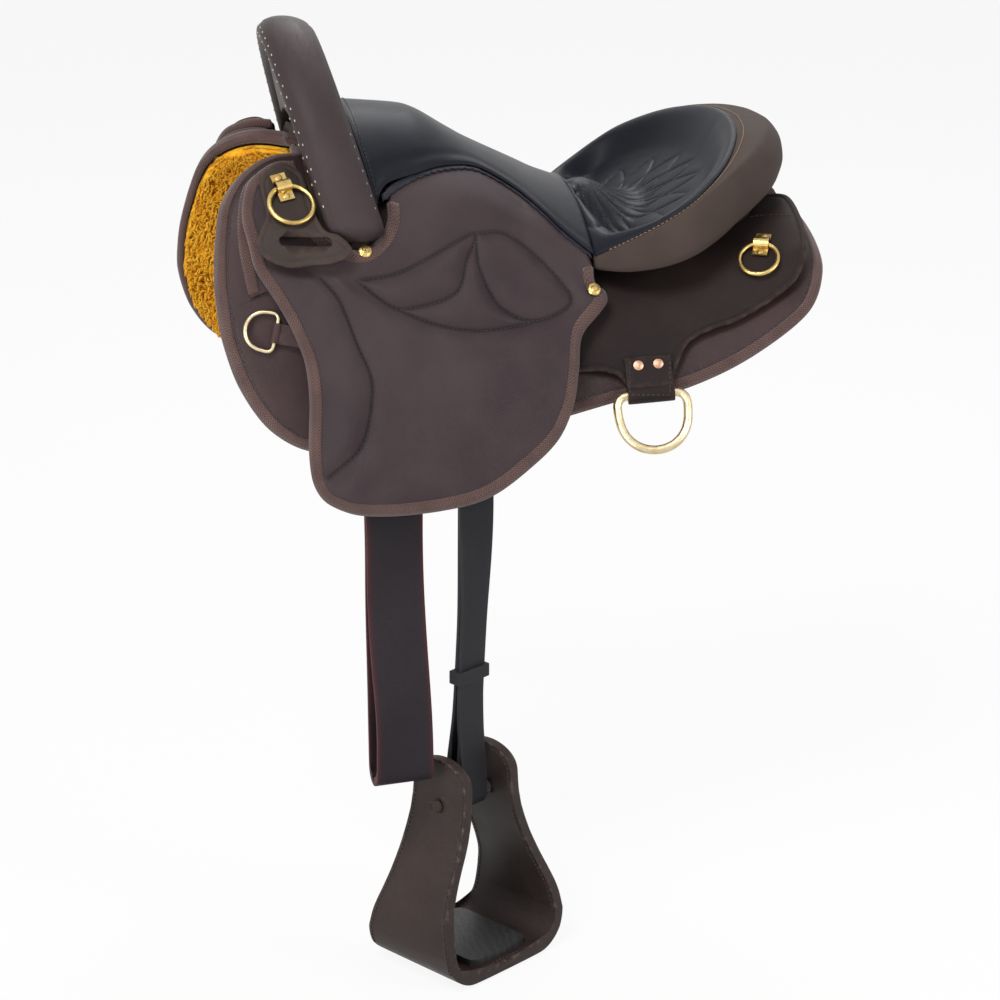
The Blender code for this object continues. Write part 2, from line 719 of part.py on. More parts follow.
def pommel_back(z):
    """X of the pommel's rear face at a height."""
    return POMMEL_X + (POMMEL_TOP - z) * POMMEL_LEAN + ROLL_DEPTH / 2 + GAP


def seat_x(x, z):
    """The seat's first stations lean with the pommel that they lie against."""
    first = SEAT_LINE[0][0] * MM
    blend = 1 - ease((x - first) / (45 * MM))
    return lerp(x, pommel_back(z) + 1 * MM, blend) if blend > 0 else x


def make_seat_front():
    stations = [lerp(SEAT_LINE[0][0] * MM, SEAM_X - GAP / 2, k / 15) for k in range(16)]
    across = [math.sin(math.radians(90 * k / 7)) for k in range(-7, 8)]
    rings = []
    for x in stations:
        half = seat_half_width(x)
        top = [Vector((x, half * t, seat_height(x, t))) for t in across]
        low = [p - Vector((0, 0, seat_thickness(half - abs(p.y)))) for p in reversed(top)]
        ring_points = [Vector((seat_x(x, p.z), p.y, p.z)) for p in top + low]
        rings.append(ring_points)
    add('seat_front', loft(rings), black_leather())


def seat_underside(x, y):
    """Height of the seat's lower face over a place in plan."""
    half = seat_half_width(x)
    return seat_height(x, min(abs(y) / half, 1)) - seat_thickness(half - abs(y))


def make_ground_seat():
    """Rigid filler between the bars and the seat's narrow front."""
    first, last = -126 * MM, SEAM_X - GAP / 2
    rings = []
    for k in range(11):
        x = lerp(first, last, k / 10)
        half = seat_half_width(x) - 17 * MM
        top, low = [], []
        for j in range(-4, 5):
            y = half * j / 4
            height = seat_underside(x, y) - 2.5 * LAYER_GAP
            top.append(Vector((seat_x(x, height), y, height)))
            foot = seat_x(x, height_over(x, y, on_bar(x)))
            bed = on_bar(foot) + (LEATHER + 1.5 * LAYER_GAP if x > 5 * MM else GAP)
            low.append(Vector((foot, y, height_over(foot, y, bed) + GAP)))
        rings.append(top + low[::-1])
    add('ground_seat', loft(rings), tree_wood())


RIM = rounded(RIM_LINE, 13 * MM, closed=False)


def rim_plane(x):
    return RIM_Z + RIM_SLOPE * (x - SEAM_X)


def rim_points():
    """Rim from the near front corner round the back to the far one, in plan."""
    near = [(p[0], -p[1]) for p in RIM]
    return near + [(p[0], p[1]) for p in RIM[-2::-1]]


def dish_height(x, y, r, turn):
    """Top of the dish at a share r of the way from the seam's middle to the rim; turn is 0 ahead, 1 behind."""
    middle = SEAT_LINE[-1][3] * MM - RIM_Z
    across = 1 - r ** SEAT_CROWN_POWER
    bump = middle * lerp(across, 1 - ease(r / 0.5), ease(turn * 2.5))
    bowl = DISH_DEPTH * ease(turn * 2.2) * ease(r / 0.5) * (1 - ease((r - 0.78) / 0.22))
    return rim_plane(x) + bump - bowl


def fan(levels, place):
    """Half-disc grid of a level for each share r, from the seam's middle out to the rim."""
    rim = rim_points()
    rows = []
    for r in levels:
        row = []
        for k, (px, py) in enumerate(rim):
            turn = math.sin(math.pi * k / (len(rim) - 1))
            turn = 0.0 if turn < 1e-6 else turn
            x, y = lerp(SEAM_X + GAP / 2, px + GAP / 2, r), py * r
            row.append(Vector((x, y, place(x, y, r, turn))))
        rows.append(row)
    return rows


def fan_solid(top, low, walls=()):
    """Closed body between two fans; further rows of a wall may join their outer edges."""
    bm = bmesh.new()
    sheets = []
    for rows in (top, low):
        centre = bm.verts.new(rows[0][0])
        grid = [[bm.verts.new(p) for p in row] for row in rows[1:]]
        for a, b in zip(grid[0], grid[0][1:]):
            bm.faces.new((centre, a, b))
        for inner, outer in zip(grid, grid[1:]):
            for k in range(len(inner) - 1):
                bm.faces.new((inner[k], inner[k + 1], outer[k + 1], outer[k]))
        sheets.append((centre, grid))
    (top_centre, top_grid), (low_centre, low_grid) = sheets
    walls = [[bm.verts.new(p) for p in row] for row in walls]
    rows = [top_grid[-1]] + walls + [low_grid[-1]]
    for a, b in zip(rows, rows[1:]):
        for k in range(len(a) - 1):
            bm.faces.new((a[k], a[k + 1], b[k + 1], b[k]))
    edge = [row[0] for row in reversed(top_grid)] + [top_centre] + [row[-1] for row in top_grid]
    edge += [row[-1] for row in walls] + [row[-1] for row in reversed(low_grid)] + [low_centre]
    edge += [row[0] for row in low_grid] + [row[0] for row in reversed(walls)]
    flat = bm.faces.new(edge)
    bmesh.ops.triangulate(bm, faces=[flat])
    return to_mesh(bm)


DISH_LEVELS = (0, 0.16, 0.32, 0.48, 0.62, 0.74, 0.82, 0.88, 0.94, 1.0)
BED_LEVELS = (0, 0.2, 0.42, 0.62, 0.80, 0.92, 1.0)


def dish_underside(x, y, r, turn):
    return dish_height(x, y, r, turn) - lerp(SEAT_EDGE_THICK, DISH_THICK, ease((1 - r) / 0.3))


def make_dish():
    add('seat_dish', fan_solid(fan(DISH_LEVELS, dish_height), fan(BED_LEVELS, dish_underside)), black_leather())


def cantle_row(out_share, down_share):
    """One row of the cantle's wall, as shares of its bulge and of its height."""
    rim = rim_points()
    row = []
    for k, (px, py) in enumerate(rim):
        back = math.sin(math.pi * k / (len(rim) - 1))
        belly = lerp(2 * MM, CANTLE_BELLY, back ** 3)
        foot = lerp(0, CANTLE_FOOT, back ** 3)
        height = lerp(CANTLE_TIP_HEIGHT, CANTLE_HEIGHT, 1 - (1 - back) ** 2.2)
        out = lerp(foot * down_share, belly, out_share)
        radial = Vector((px - 105 * MM, py)).normalized()
        if back < 0.3:
            radial = Vector((max(radial.x, 0) * back / 0.3, radial.y)).normalized()
        x, y = px + GAP / 2 + radial.x * out, py + radial.y * out
        top = SEAT_EDGE_THICK + GAP
        row.append(Vector((x, y, rim_plane(px) - top - (height - top) * down_share)))
    return row


def make_cantle():
    """Leather-covered cantle: it carries the dish and swells behind the rim."""
    top = fan(BED_LEVELS, lambda x, y, r, turn: dish_underside(x, y, r, turn) - GAP)
    foot = cantle_row(0.0, 1.0)
    low = []
    for r, above in zip(BED_LEVELS, top):
        row = []
        for point, ceiling in zip(foot, above):
            x, y = lerp(SEAM_X + GAP / 2, point.x, r), point.y * r
            bed = height_over(x, y, on_bar(x) + LEATHER + 1.5 * LAYER_GAP)
            height = max(lerp(rim_plane(x) - 32 * MM, point.z, r), bed)
            row.append(Vector((x, y, min(height, ceiling.z - 1.5 * MM) if r < 1 else height)))
        low.append(row)
    walls = [cantle_row(*shares) for shares in ((0.68, 0.0), (0.93, 0.22), (1.0, 0.55), (0.8, 0.86))]
    add('cantle', fan_solid(top, low, walls), brown_leather())


# Pommel

def pommel_line(steps):
    """Stations along the arch, evenly spaced: height and signed half-width."""
    widest = math.sqrt(POMMEL_SPREAD * (POMMEL_TOP - POMMEL_FOOT))
    fine = [lerp(-widest, widest, k / 400) for k in range(401)]
    places = [Vector((w, POMMEL_TOP - w * w / POMMEL_SPREAD)) for w in fine]
    run = [0.0]
    for a, b in zip(places, places[1:]):
        run.append(run[-1] + (b - a).length)
    line = []
    for k in range(steps + 1):
        goal = run[-1] * k / steps
        i = min(max(j for j in range(len(run)) if run[j] <= goal + 1e-12), len(places) - 2)
        line.append(places[i].lerp(places[i + 1], (goal - run[i]) / (run[i + 1] - run[i])))
    return line


def pommel_place(width, height, depth=0.0):
    """World place in the leaning arch: depth runs to the horse's tail."""
    x = POMMEL_X + (POMMEL_TOP - height) * POMMEL_LEAN + depth
    return Vector((x, width, height))


def arch_rings(grow_out, grow_in, half_depth, corners, steps=18, power=2.6, foot_lift=None):
    """Rounded sections along the arch; the feet may be carried on to a height above the skin."""
    line = pommel_line(steps)
    rings = []
    for i, place in enumerate(line):
        before, after = line[max(i - 1, 0)], line[min(i + 1, steps)]
        run = (after - before).normalized()
        out = Vector((-run.y, run.x))
        section_points = []
        for k in range(corners):
            angle = 2 * math.pi * (k + 0.5) / corners
            c, s = math.cos(angle), math.sin(angle)
            across = math.copysign(abs(s) ** (2 / power), s)
            depth = math.copysign(abs(c) ** (2 / power), c) * half_depth
            spot = place + out * lerp(-grow_in, grow_out, (across + 1) / 2)
            point = pommel_place(spot.x, spot.y, depth)
            if foot_lift and i in (0, steps):
                down = (pommel_place(*before) - pommel_place(*after)) if i == 0 else \
                    (pommel_place(*after) - pommel_place(*before))
                down = down if down.z < 0 else -down
                point = carried(point, down, foot_lift)
            section_points.append(point)
        rings.append(section_points)
    return rings


def carried(point, direction, lift):
    """Move a point along a direction until it stands lift above the skin."""
    direction = direction.normalized()
    low, high = -12 * MM, 9 * MM
    for _ in range(30):
        middle = (low + high) / 2
        if off_skin(point + direction * middle)[1] > lift:
            low = middle
        else:
            high = middle
    return point + direction * low


def make_pommel():
    outer = arch_rings(ROLL_OUT, ROLL_IN, ROLL_DEPTH / 2, 12)
    bore_in = ROLL_IN - ROLL_WALL * 0.6
    bore = arch_rings(ROLL_OUT - ROLL_WALL, bore_in, ROLL_DEPTH / 2 - ROLL_WALL, 12)
    add('pommel_roll', tube(outer, bore), brown_leather())
    trim = ROLL_WALL + FORK_PLAY
    foot = on_bar(POMMEL_X) + GAP
    fork = arch_rings(ROLL_OUT - trim - 1.5 * MM, bore_in - FORK_PLAY, ROLL_DEPTH / 2 - trim, 12, foot_lift=foot)
    add('tree_fork', loft(fork), tree_wood())
    inside = ROLL_IN + 0.6 * MM
    low = 121 * MM
    outline = []
    for place in pommel_line(24):
        if place.y < low:
            continue
        slope = Vector((1, -2 * place.x / POMMEL_SPREAD)).normalized()
        spot = place - Vector((-slope.y, slope.x)) * inside
        outline.append((spot.x, spot.y))
    arch = [(lerp(outline[-1][0], outline[0][0], k / 8),
             outline[0][1] + 20 * MM * math.sin(math.pi * k / 8)) for k in range(1, 8)]
    half = ROLL_DEPTH / 2 - 4 * MM
    front = [pommel_place(w, z, -half) for w, z in outline + arch]
    rear = [pommel_place(w, z, half) for w, z in outline + arch]
    add('pommel_facing', loft([front, rear]), brown_leather())


# Flap

@lru_cache(maxsize=None)
def edge_at(x):
    """Pattern place of the seat's edge: s, and the lift of its lower face."""
    half = seat_half_width(x)
    return off_skin(Vector((x, -half, seat_height(x, 1.0) - SEAT_EDGE_THICK)))


def flap_outlines():
    """Whole cut of the flap, and the two pieces of it that meet along the hinge line."""
    under_seat = []
    for k in range(13):
        x = lerp(-126, 49, k / 12) * MM
        under_seat.append(Vector((x, edge_at(round(x, 6))[0] - SEAT_LAP)))
    shoulder = rounded(FLAP_SHOULDER_CUT, 11 * MM, closed=False)
    rear = rounded(FLAP_REAR_CUT, 9 * MM, closed=False)
    lower = rounded(FLAP_LOWER_CUT, 13 * MM, closed=False)
    above, below = [], []
    for k in range(21):
        x = lerp(FLAP_FRONT_X, FLAP_REAR_X, k / 20) * MM
        cuts = sorted((hinge_s(x, flap_bed(x)), hinge_s(x, flap_bed(x) + FLAP_CROWN)))
        above.append(Vector((x, cuts[0] - GAP)))
        below.append(Vector((x, cuts[1] + GAP)))
    loose = lower[1:-1] + below[::-1]
    fixed = above + rear[-2:0:-1] + under_seat[::-1] + shoulder[-2:0:-1]
    whole = lower[:-1] + rear[:0:-1] + under_seat[::-1] + shoulder[-2:0:-1]
    return cleaned(whole), cleaned(fixed), cleaned(loose)


def cleaned(line):
    """Drop points that lie on their neighbour."""
    kept = [line[0]]
    for p in line[1:]:
        if (p - kept[-1]).length > 2.5 * MM:
            kept.append(p)
    if (kept[-1] - kept[0]).length < 2.5 * MM:
        kept.pop()
    return kept


def hinge_ends():
    """The line above the flap's outer face that the loose part turns about."""
    lift = FLAP_UNDER + FLAP_CROWN + 1 * MM
    return (skin(FLAP_FRONT_X * MM, FLAP_FRONT_S * MM, lift), skin(FLAP_REAR_X * MM, FLAP_REAR_S * MM, lift))


def flap_bed(x):
    """Height of the flap's inner face away from the seat: low in front of the bars, clear of the straps behind."""
    return lerp(FLAP_UNDER_FRONT, FLAP_UNDER, ease((x + 206 * MM) / (40 * MM)))


def hinge_s(x, lift):
    """Pattern s where a layer meets the flat cut through the flap's hinge line."""
    a, b = hinge_ends()
    middle = (a + b) / 2
    s, _ = off_skin(middle)
    outward = skin_frame(middle.x, s, 0).to_3x3() @ Vector((0, 0, 1))
    across = (b - a).cross(outward).normalized()
    low, high = 0.100, 0.210
    rising = (skin(x, high, FLAP_UNDER) - a).dot(across) > 0
    for _ in range(26):
        half = (low + high) / 2
        if ((skin(x, half, lift) - a).dot(across) > 0) == rising:
            high = half
        else:
            low = half
    return low


@lru_cache(maxsize=None)
def flap_seams():
    return [rounded(points, 9 * MM, closed=False)
            for points in (KNEE_SEAM, FRONT_LEAF_SEAM, REAR_LEAF_SEAM, UNDER_ARC_SEAM)]


def near_seat(x, s, reach):
    """1 at the seat's edge and under it, fading to 0 at a distance down the side."""
    top_s = edge_at(round(x, 6))[0]
    return (1 - ease((s - top_s) / reach)) * ease((x + 152 * MM) / (22 * MM))


def flap_under(x, s):
    """Inner face: on its bed low down, over the hanger, and up to the seat at the top."""
    base = flap_bed(x)
    top_s, top_lift = edge_at(round(x, 6))
    up = near_seat(x, s, max(120 * MM - top_s, 30 * MM))
    base += HANGER_BULGE * math.exp(-((x - HANG_X) / (26 * MM))**2 - ((s - HANGER_S - HANGER_REACH) / (24 * MM))**2)
    under = lerp(base, max(top_lift - FLAP_TOP_THICK - 1 * MM, base), up)
    return min(under, below_seat(x, s) - FLAP_TOP_THICK)


@lru_cache(maxsize=None)
def below_seat(x, s):
    """Highest lift that stays under the seat; without limit beside it."""
    if x < -150 * MM or x > SEAM_X:
        return 1.0
    lift = 30 * MM
    for _ in range(8):
        p = skin(x, s, lift)
        if -p.y > seat_half_width(x) + 0.5 * MM:
            return 1.0
        lift += (seat_underside(x, p.y) - 1.8 * MM - p.z) / math.cos(section(round(x, 7), round(s, 7))[2])
    return lift


def flap_over(x, s, outline):
    """Outer face: bound edge, stuffed body, drawn-in seams."""
    edge = distance_to(outline, x, s)
    body = lerp(FLAP_EDGE_THICK, FLAP_CROWN, 1 - math.exp(-edge / (15 * MM)))
    groove = 0.0
    for line in flap_seams():
        reach = distance_to(line, x, s, closed=False) / SEAM_WIDTH
        groove = max(groove, SEAM_DEPTH * math.exp(-1.6 * reach * reach))
    body -= groove
    body = lerp(body, FLAP_TOP_THICK, near_seat(x, s, 34 * MM))
    under_plate = ease((-150 * MM - x) / (14 * MM)) * ease((166 * MM - s) / (12 * MM))
    body = lerp(body, FLAP_EDGE_THICK + 2 * MM, under_plate)
    return min(flap_under(x, s) + body, below_seat(x, s))


def make_flaps():
    whole, fixed, loose = flap_outlines()

    def over(x, s):
        return flap_over(x, s, whole)

    seams = flap_seams()
    upper = pattern_sheet(fixed, flap_under, over, FLAP_PITCH, SKIRT_PITCH, seams)
    far_copy(add('flap_top_near', upper, brown_leather()))
    a, b = hinge_ends()
    lower = pattern_sheet(loose, flap_under, over, FLAP_PITCH, UNDER_PITCH, seams, inset=8 * MM)
    far_copy(add('flap_near', lower, brown_leather(), (a + b) / 2))
    print('flap hinge from', [round(c, 5) for c in a], 'to', [round(c, 5) for c in b])
    return whole


def make_screws(whole):
    for name, x, s, stand in (('front', -150, 131, 0.9), ('rear', 46, 124, 1.8)):
        lift = flap_over(x * MM, s * MM, whole) + stand * MM
        frame = skin_frame(x * MM, s * MM, lift, surface=lambda x, s: flap_over(x, s, whole))
        profile = [(0, 3.4 * MM), (2.6 * MM, 3.0 * MM), (3.4 * MM, 2.0 * MM), (5.2 * MM, 1.5 * MM),
                   (SCREW_R, 0.6 * MM), (SCREW_R, 0), (0, 0)]
        far_copy(add(name + '_screw_near', turned(profile, frame, 14), brass()))


# Slotted plate, rings and clips

def plate_under(x, s):
    """The plate lies on the flap at its top and stands proud at its lower edge."""
    bed = flap_bed(x) + FLAP_EDGE_THICK + 2 * MM + 2 * GAP
    return bed + PLATE_STAND * ease((s - 100 * MM) / (45 * MM))


def plate_top(x, s):
    return plate_under(x, s) + LEATHER


def make_slot_plates():
    mesh = pattern_sheet(rounded(PLATE_CUT, 9 * MM), plate_under, plate_top, 15 * MM, 15 * MM)
    (ax, as_), (bx, bs), height = PLATE_SLOT
    middle_x, middle_s = (ax + bx) / 2 * MM, (as_ + bs) / 2 * MM
    frame = skin_frame(middle_x, middle_s, plate_under(middle_x, middle_s) + LEATHER / 2)
    tilt = math.atan2(as_ - bs, bx - ax)
    radius = height / 2 * MM
    half = math.hypot(bx - ax, bs - as_) / 2 * MM - radius
    outline = arc((half, 0), radius, -90, 90, 6) + arc((-half, 0), radius, 90, 270, 6)
    cutter = plate(outline, 36 * MM, frame @ Matrix.Rotation(tilt, 4, 'Z') @ Matrix.Translation((0, 0, -18 * MM)))
    far_copy(add('slot_plate_near', worked(mesh, [cutter]), brown_leather()))


UPRIGHT = Matrix(((0, 0, 1), (1, 0, 0), (0, 1, 0))).to_4x4()     # a profile's X down the side, its Y outward


def make_ring_and_clip(name, x, s, turn, surface, radius, wire):
    """Ring that hangs under the hump of a brass strap and turns about its wire there."""
    bed = skin_frame(x, s, surface(x, s) + 4 * GAP, turn, surface)
    play = CLIP_WIDTH**2 / 8 / radius + 0.7 * MM
    centre = wire / 2 + 0.35 * MM
    hump = wire / 2 + play
    foot = 8.5 * MM
    inner = arc((0, centre), hump, 0, 180, 8)
    outer = arc((0, centre), hump + CLIP_THICK, 180, 0, 8)
    profile = [(hump, 0)] + inner + [(-hump, 0), (-hump - foot, 0), (-hump - foot, CLIP_THICK),
                                     (-hump - CLIP_THICK, CLIP_THICK)]
    profile += outer + [(hump + CLIP_THICK, CLIP_THICK), (hump + foot, CLIP_THICK), (hump + foot, 0)]
    mesh = plate(unique(profile), CLIP_WIDTH, bed @ Matrix.Translation((-CLIP_WIDTH / 2, 0, 0)) @ UPRIGHT)
    head = [(0, 1.5 * MM), (2.2 * MM, 1.2 * MM), (3.2 * MM, 0.4 * MM), (3.2 * MM, -0.6 * MM), (0, -0.6 * MM)]
    for side in (1, -1):
        spot = bed @ Matrix.Translation((0, side * (hump + foot * 0.56), CLIP_THICK))
        mesh = worked(mesh, [turned(head, spot, 10)], 'UNION')
    far_copy(add(name + '_clip_near', mesh, brass()))
    axis = bed @ Matrix.Translation((0, 0, centre))
    rest = resting_turn(axis, radius, wire / 2 + 0.6 * MM, surface)
    mesh = ring(radius, wire, axis @ Matrix.Rotation(rest, 4, 'X') @ Matrix.Translation((0, radius, 0)))
    far_copy(add(name + '_ring_near', mesh, brass(), axis.translation))
    report(name + ' ring', axis.translation, axis.to_3x3() @ Vector((1, 0, 0)))


def resting_turn(axis, radius, clearance, surface):
    """Turn at which a ring that hangs from an axis just lies on a surface."""
    for degrees in range(60, -60, -1):
        turned_ring = axis @ Matrix.Rotation(math.radians(degrees), 4, 'X') @ Matrix.Translation((0, radius, 0))
        for x, y in arc((0, 0), radius, -40, 220, 13):
            p = turned_ring @ Vector((x, y, 0))
            s, lift = off_skin(p)
            if lift < surface(p.x, s) + clearance:
                return math.radians(degrees + 1)
    return 0.0


def report(name, place, direction):
    print(name, 'axis at', [round(c, 5) for c in place], 'direction', [round(c, 4) for c in direction])


def unique(points):
    """Drop repeats from a closed outline."""
    kept = []
    for p in points:
        if not kept or math.hypot(p[0] - kept[-1][0], p[1] - kept[-1][1]) > 1e-6:
            kept.append(p)
    if math.hypot(kept[0][0] - kept[-1][0], kept[0][1] - kept[-1][1]) < 1e-6:
        kept.pop()
    return kept


def make_rings():
    make_ring_and_clip('front', -214.6 * MM, 98 * MM, math.radians(16), plate_top, FRONT_RING_R, FRONT_RING_WIRE)
    make_ring_and_clip('rear', 199 * MM, 106 * MM, math.radians(-22),
                       lambda x, s: rig_skirt_under(x, s) + LEATHER, REAR_RING_R, REAR_RING_WIRE)


# Dees and their tabs

def dee_outline(width, height, wire, corner):
    """Centre line of a D lying under its straight bar, which runs along X at Y 0."""
    half = (width - wire) / 2
    deep = height - wire
    points = arc((-half + corner, corner), corner, 180, 270, 3)
    points += arc((half - corner, corner), corner, -90, 0, 3)
    for k in range(1, 12):
        angle = math.pi * k / 12
        points.append((half * math.cos(angle), corner + (deep - corner) * abs(math.sin(angle)) ** 0.75))
    return points


def loop_outline(width, height, corner):
    """Rounded rectangle that hangs from X at Y 0."""
    points = []
    for cx, cy, start in ((1, 0, -90), (1, 1, 0), (-1, 1, 90), (-1, 0, 180)):
        centre = (cx * (width / 2 - corner), cy * (height - 2 * corner) + corner)
        points += arc(centre, corner, start, start + 90, 3)
    return points


def tab_profile(bore, ply, back, front, length):
    """Side view of a leather tab folded round a bar at the origin, with its two legs running up the side."""
    eye = bore + ply
    start = 180 - math.degrees(math.asin(min((front - ply) / bore, 0.92))) if front > ply else 180
    top = math.sqrt(max(eye * eye - front * front, 0))
    outer_from = math.degrees(math.atan2(front, -top))
    outer_to = math.degrees(math.atan2(back, -math.sqrt(max(eye * eye - back * back, 0))))
    profile = [(-length, front)] + arc((0, 0), eye, outer_from, outer_to - 0, 14)
    profile += [(-length, back), (-length, back + ply)]
    low = math.degrees(math.atan2(back + ply, -math.sqrt(max(bore * bore - (back + ply)**2, 1e-9))))
    profile += arc((0, 0), bore, low, start, 12)
    profile += [(-length, front - ply)]
    return unique(profile)


def make_rear_dees():
    x, s = 88 * MM, 184 * MM
    skirt_low = rig_skirt_under(x, s)
    ply = 3.2 * MM
    bore = REAR_DEE_WIRE / 2 + 0.5 * MM
    reach = 22 * MM
    leg = LEATHER / 2 + 2 * GAP + ply
    pin = skin_frame(x, s, skirt_low + LEATHER / 2, surface=rig_skirt_under) @ Matrix.Translation((0, reach, 0))
    mesh = plate(tab_profile(bore, ply, -leg, leg, 32 * MM), DEE_TAB_WIDTH,
                 pin @ Matrix.Translation((-DEE_TAB_WIDTH / 2, 0, 0)) @ UPRIGHT)
    far_copy(add('dee_tab_near', mesh, brown_leather()))
    outline = dee_outline(REAR_DEE_WIDTH, REAR_DEE_HEIGHT, REAR_DEE_WIRE, 10 * MM)
    mesh = wire_loop(outline, REAR_DEE_WIRE, pin)
    far_copy(add('rear_dee_near', mesh, brass(), pin.translation))
    report('rear dee', pin.translation, pin.to_3x3() @ Vector((1, 0, 0)))
    head = [(0, 1.4 * MM), (2.2 * MM, 1.2 * MM), (RIVET_R, 0.5 * MM), (RIVET_R, 0), (0, 0)]
    for name, offset in (('front', 8.5), ('rear', -8.5)):
        spot = pin @ Matrix.Translation((offset * MM, -24 * MM, leg + GAP))
        far_copy(add(name + '_rivet_near', turned(head, spot, 12), copper()))


def make_panel_dees():
    x, s = -227 * MM, 211 * MM
    wire, ply = PANEL_DEE_WIRE, 1.8 * MM
    bore = wire / 2 + 0.4 * MM
    leg = ply + 0.2 * MM
    lift = PANEL_CROWN + GAP + bore + ply
    frame = skin_frame(x, s, lift, math.radians(-104))
    width = 17 * MM
    mesh = plate(tab_profile(bore, ply, -leg, leg, 24 * MM), width,
                 frame @ Matrix.Translation((-width / 2, 0, 0)) @ UPRIGHT)
    far_copy(add('panel_tab_near', mesh, brown_leather()))
    outline = dee_outline(PANEL_DEE_WIDTH, PANEL_DEE_REACH, wire, 5 * MM)
    mesh = wire_loop(outline, wire, frame, 1)
    far_copy(add('panel_dee_near', mesh, brass(), frame.translation))
    report('panel dee', frame.translation, frame.to_3x3() @ Vector((1, 0, 0)))


# Girth rigging under the flap

def strap_loop(path, sides, top_r, low_r, closed, opening, ply, width):
    """Strap doubled over an upper and a lower bar: path runs down its middle, sides along its width."""
    run = [0.0]
    for a, b in zip(path, path[1:]):
        run.append(run[-1] + (b - a).length)
    frames = []
    for i, side in enumerate(sides):
        down = (path[min(i + 1, len(path) - 1)] - path[max(i - 1, 0)]).normalized()
        side = (side - down * side.dot(down)).normalized()
        frames.append((side, down.cross(side).normalized(), down))
    places = []
    side, out, down = frames[0]
    for k in range(8):
        angle = math.pi * k / 7
        ray = -out * math.cos(angle) - down * math.sin(angle)
        places.append((path[0] + ray * top_r, side, ray))
    for i in range(1, len(path) - 1):
        side, out, down = frames[i]
        spread = max(lerp(top_r, closed, ease(run[i] / opening[0])),
                     lerp(low_r, closed, ease((run[-1] - run[i]) / opening[1])))
        places.append((path[i] + out * spread, side, out))
    side, out, down = frames[-1]
    for k in range(8):
        angle = math.pi * k / 7
        ray = out * math.cos(angle) + down * math.sin(angle)
        places.append((path[-1] + ray * low_r, side, ray))
    for i in range(len(path) - 2, 0, -1):
        side, out, down = frames[i]
        spread = max(lerp(top_r, closed, ease(run[i] / opening[0])),
                     lerp(low_r, closed, ease((run[-1] - run[i]) / opening[1])))
        places.append((path[i] - out * spread, side, -out))
    rings = [[place + side * (width / 2 * a) + out * (ply / 2 * b) for a, b in ((-1, -1), (1, -1), (1, 1), (-1, 1))]
             for place, side, out in places]
    return loft(rings, closed=True)


def make_girth_rigging():
    """Strap from the stud on the bar down to the dee, folded round the dee's bar."""
    ply, wire = 2.6 * MM, GIRTH_DEE_WIRE
    bore = wire / 2 + 0.4 * MM
    half = 22 * MM
    frame = skin_frame(GIRTH_X, GIRTH_EYE_S, PANEL_CROWN + 2 * LAYER_GAP + bore + ply)
    leg = ply + 0.25 * MM
    outline = [(GIRTH_X + a * half, s * MM) for a, s in ((-0.6, 106), (0.6, 106), (1, 112), (1, 134), (1, 160),
                                                        (-1, 160), (-1, 134), (-1, 112))]
    outline = [Vector(p) for p in outline]

    def under(x, s):
        return lerp(on_bar(x) + 1.3 * MM, PANEL_CROWN + LAYER_GAP, ease((s - 130 * MM) / (20 * MM)))

    sheet = pattern_sheet(outline, under, lambda x, s: under(x, s) + ply, 14 * MM, 14 * MM)
    fold_half = half - 0.4 * MM
    fold = plate(tab_profile(bore, ply, -leg, leg, 24 * MM), 2 * fold_half,
                 frame @ Matrix.Translation((-fold_half, 0, 0)) @ UPRIGHT)
    mesh = worked(sheet, [fold], 'UNION')
    stud = skin_frame(GIRTH_X, GIRTH_S, on_bar(GIRTH_X))
    mesh = worked(mesh, [cylinder(STUD_R + 0.4 * MM, 24 * MM, stud, 16)])
    far_copy(add('girth_rigging_near', mesh, brown_leather(), stud.translation))
    report('girth swing', stud.translation, swing_axis(GIRTH_X, GIRTH_S))
    outline = loop_outline(GIRTH_DEE_WIDTH - wire, GIRTH_DEE_HEIGHT - wire, 7 * MM)
    far_copy(add('girth_dee_near', wire_loop(outline, wire, frame, 1), brass(), frame.translation))
    return frame @ Matrix.Translation((0, GIRTH_DEE_HEIGHT - wire, 0)), stud.translation


def bearing(turn):
    """Level direction at an angle from the horse's line."""
    return Vector((math.cos(turn), math.sin(turn), 0))


def flat_side(x, s):
    """Direction of a strap's width where it lies flat on the horse's side."""
    return skin_frame(x, s, 0).to_3x3() @ Vector((-1, 0, 0))


def make_girth_strap(bar, stud):
    ply = GIRTH_PLY
    closed = ply / 2 + 0.2 * MM
    top_r = GIRTH_DEE_WIRE / 2 + 1 * MM + ply / 2
    low_r = 12 * MM
    path = [bar.translation, bar @ Vector((0, 12 * MM, 0))]
    sides = [bar.to_3x3() @ Vector((-1, 0, 0))] * 2
    for s in (236, 250, 265, 280, 292):
        path.append(skin(GIRTH_X, s * MM, STRAP_LIFT + 1 * MM))
        sides.append(flat_side(GIRTH_X, s * MM))
    for z in (-133, -150, -170, -200, -235, -270, -305, -340, -370, -387):
        out = lerp(path[6].y, GIRTH_Y, ease((-125 - z) / 30)) - GIRTH_SWING_OUT * ease((-220 - z) / 150)
        path.append(Vector((GIRTH_X, out, z * MM)))
        turn = GIRTH_TURN * ease((-125 - z) / 75) * (1 + 0.5 * math.sin((z + 200) / 42))
        turn *= 1 - 0.6 * ease((-330 - z) / 57)
        sides.append(sides[6].lerp(bearing(turn), ease((-115 - z) / 60)))
    mesh = strap_loop(path, sides, top_r, low_r, closed, (16 * MM, 190 * MM), ply, GIRTH_WIDTH)
    add('girth_strap_near', mesh, strap_leather(), stud)


# Stirrup hanger, leather and stirrup

